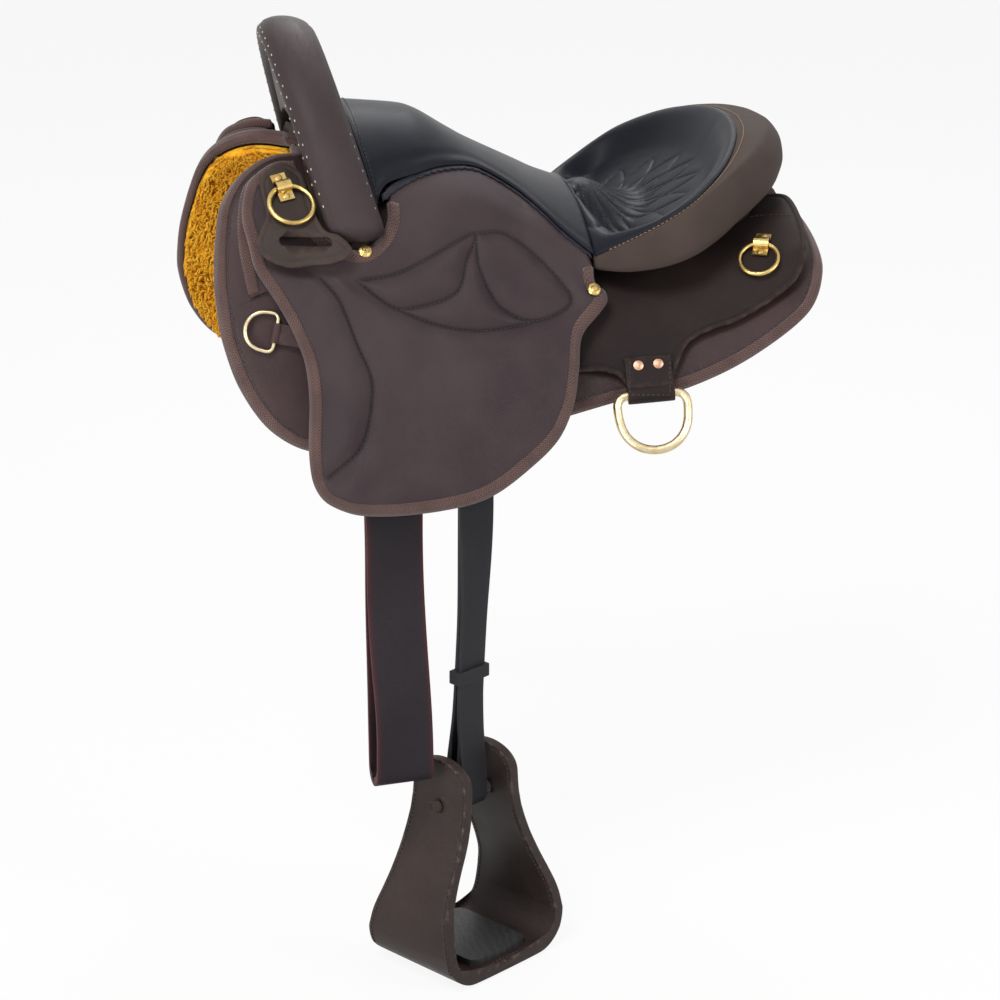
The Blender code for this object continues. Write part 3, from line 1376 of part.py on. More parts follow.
def make_hangers():
    """Steel hanger that swivels on the bar's stud and carries the strap on a rod."""
    frame = skin_frame(HANG_X, HANGER_S, on_bar(HANG_X)) @ Matrix.Translation((0, 0, 1.8 * MM))
    half = STIRRUP_STRAP_WIDTH / 2 + 3.5 * MM
    sink = 2.6 * MM
    outline = arc((0, 0), 11 * MM, 180, 360, 8)
    outline += [(11 * MM, 9 * MM), (half + 3 * MM, 16 * MM), (half + 3 * MM, 20 * MM)]
    outline += [(-x, y) for x, y in outline[:-4:-1]]
    body = plate(outline, 3 * MM, frame)
    rod_frame = frame @ Matrix.Translation((0, HANGER_REACH, -sink))
    ears = [block((3.4 * MM, 13 * MM, 6 * MM),
                  frame @ Matrix.Translation((side * (half + 1.2 * MM), HANGER_REACH - 4.6 * MM, 0.6 * MM)))
            for side in (1, -1)]
    rod = cylinder(4 * MM, 2 * half + 4.4 * MM, rod_frame @ Matrix.Rotation(math.pi / 2, 4, 'Y'), 12)
    mesh = worked(body, ears + [rod], 'UNION')
    mesh = worked(mesh, [cylinder(STUD_R + 0.5 * MM, 20 * MM, frame, 16)])
    far_copy(add('hanger_near', mesh, steel(), frame.translation))
    report('hanger', frame.translation, swing_axis(HANG_X, HANGER_S))
    return frame.translation, rod_frame


def strap_turn(z):
    """The stirrup leather turns as it comes down, to set the stirrup square to the foot."""
    return STIRRUP_TURN * ease((-135 * MM - z) / (140 * MM))


def make_stirrup_leather(stud, rod):
    ply = STIRRUP_STRAP_PLY
    closed = ply / 2 + 0.2 * MM
    path = [rod.translation, rod @ Vector((0, 11 * MM, 0))]
    sides = [rod.to_3x3() @ Vector((-1, 0, 0))] * 2
    for s in (150, 170, 190, 210, 230, 250, 266):
        x = lerp(HANG_X, FLAP_EXIT_X, ease((s - 140) / 120))
        path.append(skin(x, s * MM, STRAP_LIFT))
        sides.append(flat_side(x, s * MM))
    for z in (-135, -160, -185, -210, -235, -260, -285, -305, -326, -345, -362, -380, -398, -415, -430):
        place = Vector((lerp(FLAP_EXIT_X, HUB_X, ease((-150 - z) / 280)), lerp(path[8].y, HANG_Y, ease((-118 - z) / 40)),
                        z * MM))
        path.append(place)
        sides.append(sides[8].lerp(bearing(strap_turn(z * MM)), ease((-115 - z) / 60)))
    path[-1] = Vector((HUB_X, HANG_Y, HUB_Z))
    mesh = strap_loop(path, sides, STUD_R + 0.5 * MM + ply / 2, ROLLER_R + 0.5 * MM + ply / 2, closed,
                      (16 * MM, 96 * MM), ply, STIRRUP_STRAP_WIDTH)
    add('stirrup_leather_near', mesh, strap_leather(), stud)
    centre = Vector((lerp(FLAP_EXIT_X, HUB_X, ease((-150 - KEEPER_Z / MM) / 280)), HANG_Y, KEEPER_Z))
    frame = Matrix.Translation(centre) @ Matrix.Rotation(strap_turn(KEEPER_Z), 4, 'Z')
    wide, thick, wall = STIRRUP_STRAP_WIDTH / 2 + 1.1 * MM, ply + 0.95 * MM, 2.2 * MM
    outside = block((2 * (wide + wall), 2 * (thick + wall), 12 * MM), frame)
    mesh = worked(outside, [block((2 * wide, 2 * thick, 30 * MM), frame)])
    add('keeper_near', mesh, strap_leather(), centre)
    report('keeper', centre, Vector((0, 0, 1)))


def make_stirrup():
    """Bell stirrup: a bent blank whose edges are cut to a curved side profile."""
    hub = Vector((HUB_X, HANG_Y, HUB_Z))
    frame = Matrix.Translation(hub) @ Matrix.Rotation(STIRRUP_TURN, 4, 'Z')
    outer, inner = [], []
    straight = STIRRUP_DROP - FOOT_BEND
    for k in range(13):
        d = lerp(-STIRRUP_RISE, straight, k / 12)
        half = along(STIRRUP_SIDE, d, 1)
        outer.append((half, -d))
        inner.append((half - CHEEK_WALL, -d))
    foot = outer[-1][0]
    small = FOOT_BEND - CHEEK_WALL
    outer += arc((foot - FOOT_BEND, -straight), FOOT_BEND, 0, -90, 6)[1:]
    inner += arc((foot - FOOT_BEND, -straight), small, 0, -90, 5)[1:]
    outline = outer + [(-x, z) for x, z in outer[::-1]] + [(-x, z) for x, z in inner] + inner[::-1]
    facing = Matrix(((1, 0, 0), (0, 0, -1), (0, 1, 0))).to_4x4()
    deep = 130 * MM
    mesh = plate(unique(outline), deep, frame @ Matrix.Translation((0, deep / 2, 0)) @ facing)
    rise = 19 * MM
    top_half = along(STIRRUP_SIDE, -STIRRUP_RISE, 2)
    edge = [(along(STIRRUP_SIDE, d, 2), -d) for d in [lerp(-STIRRUP_RISE + rise, STIRRUP_DROP + 2 * MM, k / 10)
                                                    for k in range(11)]]
    crown = [(top_half * math.cos(math.radians(a)), STIRRUP_RISE - rise + rise * math.sin(math.radians(a)))
             for a in range(20, 180, 20)]
    side = edge[::-1] + crown + [(-p[0], p[1]) for p in edge]
    across = Matrix(((0, 0, 1), (1, 0, 0), (0, 1, 0))).to_4x4()
    blank = plate(side, 200 * MM, frame @ Matrix.Translation((-100 * MM, 0, 0)) @ across)
    mesh = worked(mesh, [blank], 'INTERSECT')
    turn_y = Matrix.Rotation(math.pi / 2, 4, 'Y')
    mesh = worked(mesh, [cylinder(BOLT_R + GAP, 200 * MM, frame @ turn_y, 16)])
    add('stirrup_near', mesh, brown_leather(), hub)
    wall = along(STIRRUP_SIDE, 0, 1) + 1 * MM
    bolt = [(0, wall + 2.6 * MM), (5 * MM, wall + 2 * MM), (6.5 * MM, wall + 0.4 * MM), (BOLT_R, wall + 0.4 * MM)]
    bolt = [(r, z) for r, z in bolt]
    bolt += [(r, -z) for r, z in bolt[::-1]]
    add('stirrup_bolt_near', turned(bolt, frame @ turn_y, 14), steel(), hub)
    half = along(STIRRUP_SIDE, 0, 1) - CHEEK_WALL - 1.2 * MM
    roller = [(BOLT_R + GAP, half), (ROLLER_R, half), (ROLLER_R, -half), (BOLT_R + GAP, -half), (BOLT_R + GAP, half)]
    add('stirrup_roller_near', turned(roller, frame @ turn_y, 16), steel(), hub)
    tread = frame @ Matrix.Translation((0, 0, -STIRRUP_DROP + CHEEK_WALL + GAP))
    half_x, half_y, corner = 34 * MM, 42 * MM, 8 * MM
    outline = []
    for cx, cy, start in ((1, 1, 0), (-1, 1, 90), (-1, -1, 180), (1, -1, 270)):
        outline += arc((cx * (half_x - corner), cy * (half_y - corner)), corner, start, start + 90, 3)
    add('tread_near', plate(unique(outline), TREAD_THICK, tread), rubber(), hub)
    report('stirrup', hub, frame.to_3x3() @ Vector((1, 0, 0)))


def main():
    global PARTS
    for old in list(bpy.data.objects):
        bpy.data.objects.remove(old)
    PARTS = bpy.data.collections.new('endurance_saddle')
    bpy.context.scene.collection.children.link(PARTS)
    make_panels()
    make_bars()
    make_front_skirts()
    make_rigging_skirts()
    make_seat_front()
    make_ground_seat()
    make_dish()
    make_cantle()
    make_pommel()
    whole = make_flaps()
    make_screws(whole)
    make_slot_plates()
    make_rings()
    make_rear_dees()
    make_panel_dees()
    make_girth_strap(*make_girth_rigging())
    make_stirrup_leather(*make_hangers())
    make_stirrup()
    total = 0
    for piece in PARTS.objects:
        piece.data.calc_loop_triangles()
        total += len(piece.data.loop_triangles)
        print(f'{piece.name:24s} {len(piece.data.loop_triangles):6d} triangles')
    print(len(PARTS.objects), 'pieces,', total, 'triangles')


main()
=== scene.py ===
# %% [markdown]
# # Dressing an endurance saddle
# The saddle's solids come ready made as a measured frame, already hung on their hinges and swivels. This lesson
# gives each of them what a saddler would: leather with grain and wear, woven binding tape, stitches, a fleece
# lining and tarnished brass. Everything is in metres, -X runs to the horse's head, -Y is the near side.

# %% The measured frame
import json
import math

import bmesh
import bpy
import numpy as np
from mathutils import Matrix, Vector, noise
from mathutils.bvhtree import BVHTree
from mathutils.geometry import delaunay_2d_cdt
from mathutils.kdtree import KDTree

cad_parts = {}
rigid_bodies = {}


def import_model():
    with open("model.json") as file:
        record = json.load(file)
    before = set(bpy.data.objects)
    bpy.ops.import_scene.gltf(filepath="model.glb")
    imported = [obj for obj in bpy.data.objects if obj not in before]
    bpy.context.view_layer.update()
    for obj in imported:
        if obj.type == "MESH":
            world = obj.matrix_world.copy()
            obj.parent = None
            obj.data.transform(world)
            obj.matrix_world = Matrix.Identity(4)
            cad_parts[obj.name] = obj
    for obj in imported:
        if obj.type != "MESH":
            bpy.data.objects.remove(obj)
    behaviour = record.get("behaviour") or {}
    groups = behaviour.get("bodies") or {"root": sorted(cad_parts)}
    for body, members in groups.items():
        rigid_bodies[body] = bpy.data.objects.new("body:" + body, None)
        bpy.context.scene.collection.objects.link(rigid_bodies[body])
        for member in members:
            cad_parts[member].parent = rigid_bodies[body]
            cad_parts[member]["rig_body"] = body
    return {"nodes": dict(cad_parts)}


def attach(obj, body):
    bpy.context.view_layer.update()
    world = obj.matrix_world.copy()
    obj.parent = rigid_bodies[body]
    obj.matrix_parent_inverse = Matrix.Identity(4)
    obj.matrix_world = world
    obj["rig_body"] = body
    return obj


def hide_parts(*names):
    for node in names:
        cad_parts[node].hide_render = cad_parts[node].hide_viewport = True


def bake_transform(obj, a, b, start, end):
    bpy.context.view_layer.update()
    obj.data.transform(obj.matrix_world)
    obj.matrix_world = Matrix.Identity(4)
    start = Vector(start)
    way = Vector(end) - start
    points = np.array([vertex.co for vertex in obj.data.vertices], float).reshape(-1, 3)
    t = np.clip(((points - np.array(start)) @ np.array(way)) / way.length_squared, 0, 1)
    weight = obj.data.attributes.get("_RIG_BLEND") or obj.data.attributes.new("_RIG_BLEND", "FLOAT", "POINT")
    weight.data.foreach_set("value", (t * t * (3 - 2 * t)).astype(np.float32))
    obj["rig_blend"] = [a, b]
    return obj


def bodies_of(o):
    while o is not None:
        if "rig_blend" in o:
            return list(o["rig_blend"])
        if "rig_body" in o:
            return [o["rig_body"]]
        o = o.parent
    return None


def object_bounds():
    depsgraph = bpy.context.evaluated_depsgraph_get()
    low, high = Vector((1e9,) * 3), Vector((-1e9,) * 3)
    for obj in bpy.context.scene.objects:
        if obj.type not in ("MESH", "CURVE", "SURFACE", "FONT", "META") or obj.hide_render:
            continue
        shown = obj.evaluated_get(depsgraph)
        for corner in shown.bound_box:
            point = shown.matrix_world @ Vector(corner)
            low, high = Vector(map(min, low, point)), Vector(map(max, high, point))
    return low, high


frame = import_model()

MM = 0.001
SIDES = ('near', 'far')
cad_box = [[float(c) for c in corner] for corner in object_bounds()]
scene = bpy.context.scene

# %% [markdown]
# ## Where the photographer stood
# A long lens from three metres, a little ahead of square to the near side and 20 degrees above it. Once the
# camera is known, a place in the picture is a line of sight, and features can be set on the surface it meets.

# %% Camera
CAMERA_AZIMUTH = math.radians(-11)
CAMERA_HEIGHT = math.radians(20)
CAMERA_DISTANCE = 3.0
VIEW_POINT = Vector((-0.009, 0.0, -0.228))
LENS, SENSOR = 118.8, 36.0
PICTURE = 1000

toward_camera = Vector((math.sin(CAMERA_AZIMUTH) * math.cos(CAMERA_HEIGHT),
                        -math.cos(CAMERA_AZIMUTH) * math.cos(CAMERA_HEIGHT), math.sin(CAMERA_HEIGHT)))
camera = bpy.data.objects.new('camera', bpy.data.cameras.new('camera'))
camera.data.lens = LENS
camera.data.sensor_width = SENSOR
camera.location = VIEW_POINT + toward_camera * CAMERA_DISTANCE
camera.rotation_euler = toward_camera.to_track_quat('Z', 'Y').to_euler()
scene.collection.objects.link(camera)
scene.camera = camera
print('camera at', [round(c, 3) for c in camera.location])


def sight(px, py):
    """Direction from the camera through a place in the picture."""
    turn = camera.rotation_euler.to_matrix()
    reach_px = LENS / SENSOR * PICTURE
    return (turn @ Vector(((px - PICTURE / 2) / reach_px, (PICTURE / 2 - py) / reach_px, -1))).normalized()


# %% [markdown]
# ## The horse's back as a pattern
# Leather is cut flat and then laid on the horse. A place on the flat pattern is (x, s): x along the back and s
# down the side, measured round the curve. `skin` lays such places on the horse's side, and lift is a layer's
# height above it. All of it works on whole arrays of places at once, so that a piece may have thousands.

# %% Curves through stations
SPINE_LINE = [(-300, 128), (-235, 134), (-190, 122), (-130, 92), (-60, 58),
              (10, 34), (80, 26), (150, 30), (215, 40), (270, 50)]
FRONT_X, REAR_X = -280 * MM, 250 * MM
TOP_SLOPE, SIDE_SLOPE, TURN_LENGTH = (20, 6), (74, 58), (170 * MM, 260 * MM)
SLOPE_STEPS, SEEK_ROUNDS, TINY = 24, 13, 1e-12


def lerp(a, b, t):
    return a + (b - a) * t


def ease(t):
    """0 below 0, 1 above 1, smooth between."""
    t = np.clip(t, 0.0, 1.0)
    return t * t * (3 - 2 * t)


def swell(x, middle, width):
    """1 at the middle, fading on both sides of it."""
    return np.exp(-((x - middle) / width) ** 2)


def unit(rows, least=0.0):
    """Rows scaled to length 1; least keeps rows of no length from a division by 0."""
    return rows / (np.linalg.norm(rows, axis=1)[:, None] + least)


def cubic(a, leave, b, arrive, t):
    """Smooth way from a to b that leaves and arrives at given speeds."""
    return ((2 * t**3 - 3 * t**2 + 1) * a + (t**3 - 2 * t**2 + t) * leave
            + (3 * t**2 - 2 * t**3) * b + (t**3 - t**2) * arrive)


def along(stations, x, column=1):
    """Smooth curve through stations in millimetres, flat beyond its ends."""
    table = np.array(stations, float)
    knots, values = table[:, 0] * MM, table[:, column] * MM
    i = np.clip(np.searchsorted(knots, x, side='right') - 1, 0, len(knots) - 2)
    before, after = np.maximum(i - 1, 0), np.minimum(i + 2, len(knots) - 1)
    span = knots[i + 1] - knots[i]
    t = np.clip((x - knots[i]) / span, 0, 1)
    slope_a = (values[i + 1] - values[before]) / (knots[i + 1] - knots[before]) * span
    slope_b = (values[after] - values[i]) / (knots[after] - knots[i]) * span
    return cubic(values[i], slope_a, values[i + 1], slope_b, t)


def rounded(points, spacing, closed=True):
    """Smooth line through given points in millimetres; a point given twice is a sharp corner."""
    points = [Vector([c * MM for c in p]) for p in points]
    count = len(points)
    line = []
    for i in range(count if closed else count - 1):
        a, b = points[i], points[(i + 1) % count]
        if (b - a).length < 1e-6:
            continue
        before = points[i - 1] if closed or i else a
        after = points[(i + 2) % count] if closed or i + 2 < count else b
        leave = (b - before) / 2 if (a - before).length > 1e-6 else b - a
        arrive = (after - a) / 2 if (after - b).length > 1e-6 else b - a
        limit = (b - a).length
        leave = leave.normalized() * min(leave.length, limit)
        arrive = arrive.normalized() * min(arrive.length, limit)
        steps = max(1, round(limit / spacing))
        line += [cubic(a, leave, b, arrive, k / steps) for k in range(steps)]
    if not closed:
        line.append(points[-1])
    return np.array([tuple(p) for p in line])


# %% The pattern laid on the horse
def section(x, s):
    """Half-width, height and slope of the horse's side at pattern places."""
    back = np.clip((x - FRONT_X) / (REAR_X - FRONT_X), 0, 1)
    top, side = np.radians(lerp(*TOP_SLOPE, back)), np.radians(lerp(*SIDE_SLOPE, back))
    turn = lerp(*TURN_LENGTH, back)
    y, z = np.zeros_like(x), along(SPINE_LINE, x)
    for k in range(SLOPE_STEPS):
        slope = lerp(top, side, ease((k + 0.5) * s / SLOPE_STEPS / turn))
        y = y + s / SLOPE_STEPS * np.cos(slope)
        z = z - s / SLOPE_STEPS * np.sin(slope)
    return y, z, lerp(top, side, ease(s / turn))


def skin(x, s, lift):
    """Places on the near side, lift above the skin, as rows of X, Y, Z."""
    x, s, lift = np.broadcast_arrays(np.asarray(x, float), np.asarray(s, float), np.asarray(lift, float))
    y, z, slope = section(x, s)
    return np.stack([x, -y - lift * np.sin(slope), z + lift * np.cos(slope)], axis=-1)


def off_skin(places):
    """Pattern s and lift of places."""
    x, s = places[:, 0], np.abs(places[:, 1])
    for _ in range(SEEK_ROUNDS):
        y, z, slope = section(x, s)
        out = (np.abs(places[:, 1]) - y) * np.sin(slope) + (places[:, 2] - z) * np.cos(slope)
        s = s + (np.abs(places[:, 1]) - y) * np.cos(slope) - (places[:, 2] - z) * np.sin(slope)
    return s, out


print('withers', skin(-0.235, 0.0, 0.0).round(3), 'loin', skin(0.2, 0.15, 0.0).round(3))

# %% [markdown]
# ## Finishes
# Every finish is built from nodes. Leather is a base colour that drifts from hide to hide, a pebbled grain of
# Voronoi cells with fine pores in the bump, and a gloss that varies where hands and knees have polished it.
# Numbers that are the same everywhere stay on the shader's own sockets.

# %% Small helpers for node trees
FINISHES = {}
MIX_FACTOR, MIX_A, MIX_B, MIX_COLOUR = 0, 6, 7, 2        # sockets of a mix node that works on colours


class Finish:
    """A material under construction, with short names for the nodes that it uses."""

    def __init__(self, name, **plain):
        self.material = bpy.data.materials.new(name)
        self.material.use_nodes = True
        self.tree = self.material.node_tree
        self.shader = self.tree.nodes['Principled BSDF']
        for socket, value in plain.items():
            self.shader.inputs[socket.replace('_', ' ')].default_value = value
        self.place = self.add('TexCoord')
        FINISHES[name] = self.material

    def join(self, output, socket):
        self.tree.links.new(output, socket)

    def feed(self, socket, value):
        """Another node's output, a plain number or a colour."""
        if isinstance(value, bpy.types.NodeSocket):
            self.join(value, socket)
        else:
            socket.default_value = (*value, 1) if isinstance(value, tuple) else value

    def add(self, kind):
        return self.tree.nodes.new('ShaderNode' + kind)

    def texture(self, kind, scale, source='Object', **settings):
        node = self.add('Tex' + kind)
        node.inputs['Scale'].default_value = scale
        for key, value in settings.items():
            if key in node.inputs:
                node.inputs[key].default_value = value
            else:
                setattr(node, key, value)
        self.join(self.place.outputs[source], node.inputs['Vector'])
        return node

    def ramp(self, value, stops):
        node = self.add('ValToRGB')
        while len(node.color_ramp.elements) < len(stops):
            node.color_ramp.elements.new(0.5)
        for element, (position, colour) in zip(node.color_ramp.elements, stops):
            element.position = position
            element.color = (*colour, 1) if isinstance(colour, tuple) else (colour,) * 3 + (1,)
        self.join(value, node.inputs['Fac'])
        return node.outputs['Color']

    def mix(self, factor, a, b, blend='MIX'):
        node = self.add('Mix')
        node.data_type = 'RGBA'
        node.blend_type = blend
        for number, value in ((MIX_FACTOR, factor), (MIX_A, a), (MIX_B, b)):
            self.feed(node.inputs[number], value)
        return node.outputs[MIX_COLOUR]

    def math(self, kind, a, b=0.0):
        node = self.add('Math')
        node.operation = kind
        for socket, value in zip(node.inputs, (a, b)):
            self.feed(socket, value)
        return node.outputs[0]

    def bump(self, height, depth, strength=1.0, before=None):
        node = self.add('Bump')
        node.inputs['Distance'].default_value = depth
        node.inputs['Strength'].default_value = strength
        self.join(height, node.inputs['Height'])
        if before is not None:
            self.join(before, node.inputs['Normal'])
        return node.outputs['Normal']

    def marked(self, name):
        """How far a place is worn, or lies in a seam, from the mesh's own attribute."""
        node = self.add('Attribute')
        node.attribute_name = name
        return node.outputs['Fac']


# %% Leathers
# painted shade: the colour that darkens the leather in the grooves along the flap's seams
SEAM_SHADE_COLOUR = (0.006, 0.004, 0.004)


def leather(name, dark, light, edge, gloss, grain=900.0, depth=0.00010, pores=0.5, patchy=(0.38, 0.62), shine=0.2):
    """Hide with drifting colour, pebbled grain, pores and worn edges; gloss is its roughness, low and high."""
    f = Finish(name, Specular_IOR_Level=shine)
    cloud = f.texture('Noise', 9.0, Detail=5.0, Roughness=0.6)
    patch = f.texture('Noise', 38.0, Detail=3.0)
    base = f.mix(f.ramp(cloud.outputs['Fac'], [(0.32, 0.0), (0.68, 1.0)]), dark, light)
    base = f.mix(f.ramp(patch.outputs['Fac'], [(0.45, 0.0), (0.75, 0.35)]), base, light)
    cells = f.texture('Voronoi', grain, feature='DISTANCE_TO_EDGE')
    crease = f.ramp(cells.outputs['Distance'], [(0.0, 0.0), (0.16, 1.0)])
    base = f.mix(f.math('MULTIPLY', f.math('SUBTRACT', 1.0, crease), 0.25), base, dark)
    # painted shade along the seams, as far as the mesh's 'seam' mark reaches
    base = f.mix(f.math('MULTIPLY', f.marked('seam'), 0.85), base, SEAM_SHADE_COLOUR)
    rubbed = f.texture('Noise', 160.0, Detail=4.0)
    wear = f.math('MULTIPLY', f.marked('worn'), f.ramp(rubbed.outputs['Fac'], [(patchy[0], 0.0), (patchy[1], 1.0)]))
    f.join(f.mix(wear, base, edge), f.shader.inputs['Base Color'])
    polish = f.ramp(cloud.outputs['Fac'], [(0.3, gloss[0]), (0.7, gloss[1])])
    f.join(f.math('ADD', polish, f.math('MULTIPLY', wear, 0.15)), f.shader.inputs['Roughness'])
    fine = f.texture('Noise', grain * 2.4, Detail=3.0)
    first = f.bump(crease, depth)
    second = f.bump(fine.outputs['Fac'], depth * pores, 0.6, first)
    f.join(f.bump(cloud.outputs['Fac'], 0.0016, 0.35, second), f.shader.inputs['Normal'])
    return f.material


EVEN = (0.0, 0.25)              # wear without patches
brown = leather('brown_leather', (0.027, 0.016, 0.019), (0.049, 0.033, 0.035), (0.085, 0.05, 0.04), (0.42, 0.56))
panel_brown = leather('panel_leather', (0.028, 0.014, 0.015), (0.050, 0.027, 0.027), (0.10, 0.055, 0.045), (0.32, 0.46),
                      depth=0.00007)
roll_brown = leather('roll_leather', (0.026, 0.016, 0.018), (0.046, 0.031, 0.032), (0.12, 0.08, 0.055), (0.36, 0.50))
nappy = leather('nappy_leather', (0.034, 0.023, 0.020), (0.070, 0.050, 0.042), (0.15, 0.11, 0.09), (0.62, 0.80),
                grain=1300.0, pores=1.6)
black = leather('black_leather', (0.006, 0.007, 0.011), (0.011, 0.012, 0.018), (0.03, 0.03, 0.04), (0.30, 0.40),
                grain=1100.0, depth=0.00005, shine=0.11)
strap = leather('strap_leather', (0.009, 0.006, 0.009), (0.016, 0.012, 0.016), (0.085, 0.016, 0.018), (0.42, 0.56),
                patchy=EVEN)
black_strap = leather('black_strap_leather', (0.010, 0.009, 0.012), (0.016, 0.015, 0.019), (0.035, 0.033, 0.034),
                      (0.42, 0.56), patchy=EVEN)
cover = leather('stirrup_leather', (0.019, 0.011, 0.010), (0.040, 0.026, 0.023), (0.26, 0.21, 0.18), (0.40, 0.54),
                patchy=(0.52, 0.66))
plate_brown = leather('plate_leather', (0.027, 0.018, 0.015), (0.044, 0.032, 0.028), (0.075, 0.042, 0.032),
                      (0.48, 0.62), depth=0.00009)
# painted shade: a darker copy of the brown leather for the cantle's shadow on the rigging skirt; the dee tabs use it
# too
rig_shade_brown = leather('rigging_leather', (0.013, 0.008, 0.008), (0.026, 0.017, 0.016), (0.075, 0.05, 0.04), (0.46, 0.60),
                    shine=0.12)
print('leathers:', ', '.join(sorted(FINISHES)))

# %% Woven tape, thread, fleece
TAPE_WEAVE = 2.7 * MM           # one rib of the herringbone
TAPE_TURN = 6 * MM              # width over which its ribs go out and back
TAPE_LEAN = 7 * MM              # how far they run along the tape on the way


def tape_finish():
    """Herringbone: ribs that run aslant and turn back at the tape's middle. U runs along, V across, in metres."""
    f = Finish('binding_tape', Roughness=0.82, Sheen_Weight=0.25, Sheen_Roughness=0.5)
    split = f.add('SeparateXYZ')
    f.join(f.place.outputs['UV'], split.inputs[0])
    lean = f.math('FRACT', f.math('DIVIDE', split.outputs['Y'], TAPE_TURN))
    lean = f.math('ABSOLUTE', f.math('SUBTRACT', lean, 0.5))
    run = f.math('ADD', split.outputs['X'], f.math('MULTIPLY', lean, TAPE_LEAN))
    rib = f.math('SINE', f.math('MULTIPLY', run, 2 * math.pi / TAPE_WEAVE))
    rib = f.math('ADD', f.math('MULTIPLY', rib, 0.5), 0.5)
    cloud = f.texture('Noise', 55.0, Detail=4.0)
    tone = f.mix(f.ramp(cloud.outputs['Fac'], [(0.35, 0.0), (0.65, 1.0)]), (0.086, 0.038, 0.031), (0.128, 0.062, 0.050))
    f.join(f.mix(f.math('MULTIPLY', f.math('SUBTRACT', 1.0, rib), 0.85), tone, (0.016, 0.007, 0.007)),
           f.shader.inputs['Base Color'])
    fuzz = f.texture('Noise', 2600.0, Detail=2.0)
    f.join(f.bump(fuzz.outputs['Fac'], 0.0001, 0.5, f.bump(rib, 0.0004)), f.shader.inputs['Normal'])
    return f.material


def thread_finish(name, colour, shade):
    f = Finish(name, Roughness=0.7, Sheen_Weight=0.2)
    twist = f.texture('Wave', 900.0, Distortion=2.0, bands_direction='DIAGONAL')
    f.join(f.mix(twist.outputs['Fac'], shade, colour), f.shader.inputs['Base Color'])
    f.join(f.bump(twist.outputs['Fac'], 0.0001), f.shader.inputs['Normal'])
    return f.material


def fleece_finish():
    f = Finish('fleece_pile', Roughness=0.95, Sheen_Weight=0.35, Sheen_Roughness=0.4, Sheen_Tint=(1.0, 0.55, 0.10, 1.0))
    lump = f.texture('Noise', 60.0, Detail=6.0, Roughness=0.65)
    hair = f.texture('Noise', 900.0, Detail=4.0, Roughness=0.7)
    # the colour follows the bump's lumps: partly the wool's own variation, partly painted shade darker in the hollows
    tone = f.ramp(lump.outputs['Fac'], [(0.30, (0.80, 0.32, 0.004)), (0.50, (0.95, 0.46, 0.010)),
                                        (0.72, (1.0, 0.60, 0.05))])
    # the fine hair noise darkens the low places of its bump too, painted shade among the hairs
    f.join(f.mix(f.ramp(hair.outputs['Fac'], [(0.35, 0.30), (0.6, 0.0)]), tone, (0.62, 0.24, 0.004)),
           f.shader.inputs['Base Color'])
    f.join(f.bump(hair.outputs['Fac'], 0.0012, 0.8, f.bump(lump.outputs['Fac'], 0.004, 0.6)), f.shader.inputs['Normal'])
    return f.material


tape = tape_finish()
pale_thread = thread_finish('pale_thread', (0.72, 0.66, 0.55), (0.42, 0.36, 0.28))
tan_thread = thread_finish('tan_thread', (0.40, 0.25, 0.13), (0.22, 0.13, 0.07))
dark_thread = thread_finish('dark_thread', (0.014, 0.009, 0.009), (0.006, 0.004, 0.004))
navy_thread = thread_finish('navy_thread', (0.020, 0.021, 0.028), (0.010, 0.011, 0.015))
fleece = fleece_finish()
print('cloths and threads done')


# %% Metals, wood and rubber
def metal(name, colour, tarnish, gloss, scratch=400.0):
    """Cast metal: tarnish gathers in clouds, fine scratches break the gloss."""
    f = Finish(name, Metallic=1.0)
    cloud = f.texture('Noise', 70.0, Detail=5.0, Roughness=0.65)
    spots = f.texture('Noise', scratch, Detail=3.0)
    aged = f.ramp(cloud.outputs['Fac'], [(0.42, 0.0), (0.72, 1.0)])
    f.join(f.mix(aged, colour, tarnish), f.shader.inputs['Base Color'])
    rough = f.ramp(spots.outputs['Fac'], [(0.3, gloss[0]), (0.7, gloss[1])])
    f.join(f.math('ADD', rough, f.math('MULTIPLY', aged, 0.12)), f.shader.inputs['Roughness'])
    f.join(f.bump(spots.outputs['Fac'], 0.00003, 0.4, f.bump(cloud.outputs['Fac'], 0.0002, 0.2)),
           f.shader.inputs['Normal'])
    return f.material


def grained(name, dark, light, rough, ripple=0.0002):
    f = Finish(name)
    rings = f.texture('Wave', 42.0, Distortion=7.0, Detail=3.0)
    pores = f.texture('Noise', 700.0, Detail=3.0)
    f.join(f.mix(rings.outputs['Fac'], dark, light), f.shader.inputs['Base Color'])
    f.join(f.ramp(pores.outputs['Fac'], [(0.3, rough - 0.1), (0.7, rough + 0.1)]), f.shader.inputs['Roughness'])
    f.join(f.bump(pores.outputs['Fac'], 0.0002, 0.5, f.bump(rings.outputs['Fac'], ripple)), f.shader.inputs['Normal'])
    return f.material


brass = metal('brass', (0.62, 0.45, 0.17), (0.36, 0.23, 0.07), (0.22, 0.36))
pale_brass = metal('pale_brass', (0.72, 0.61, 0.39), (0.50, 0.40, 0.21), (0.24, 0.36))
copper = metal('copper', (0.62, 0.36, 0.25), (0.36, 0.20, 0.14), (0.30, 0.45))
steel = metal('steel', (0.45, 0.45, 0.46), (0.28, 0.27, 0.27), (0.26, 0.42))
wood = grained('tree_wood', (0.030, 0.018, 0.013), (0.052, 0.033, 0.024), 0.6)
rubber = grained('tread_rubber', (0.016, 0.016, 0.017), (0.026, 0.026, 0.028), 0.55, ripple=0.00002)
print(len(FINISHES), 'finishes')

# %% [markdown]
# ## Cutting and laying leather
# A sheet of leather is cut as a dense flat net of triangles: an even grid inside, and closer rows along its
# edge, where the top and the underside roll into each other. Only then is it laid on the horse. The outline
# keeps its smooth curves, and each vertex still knows its place on the hide.


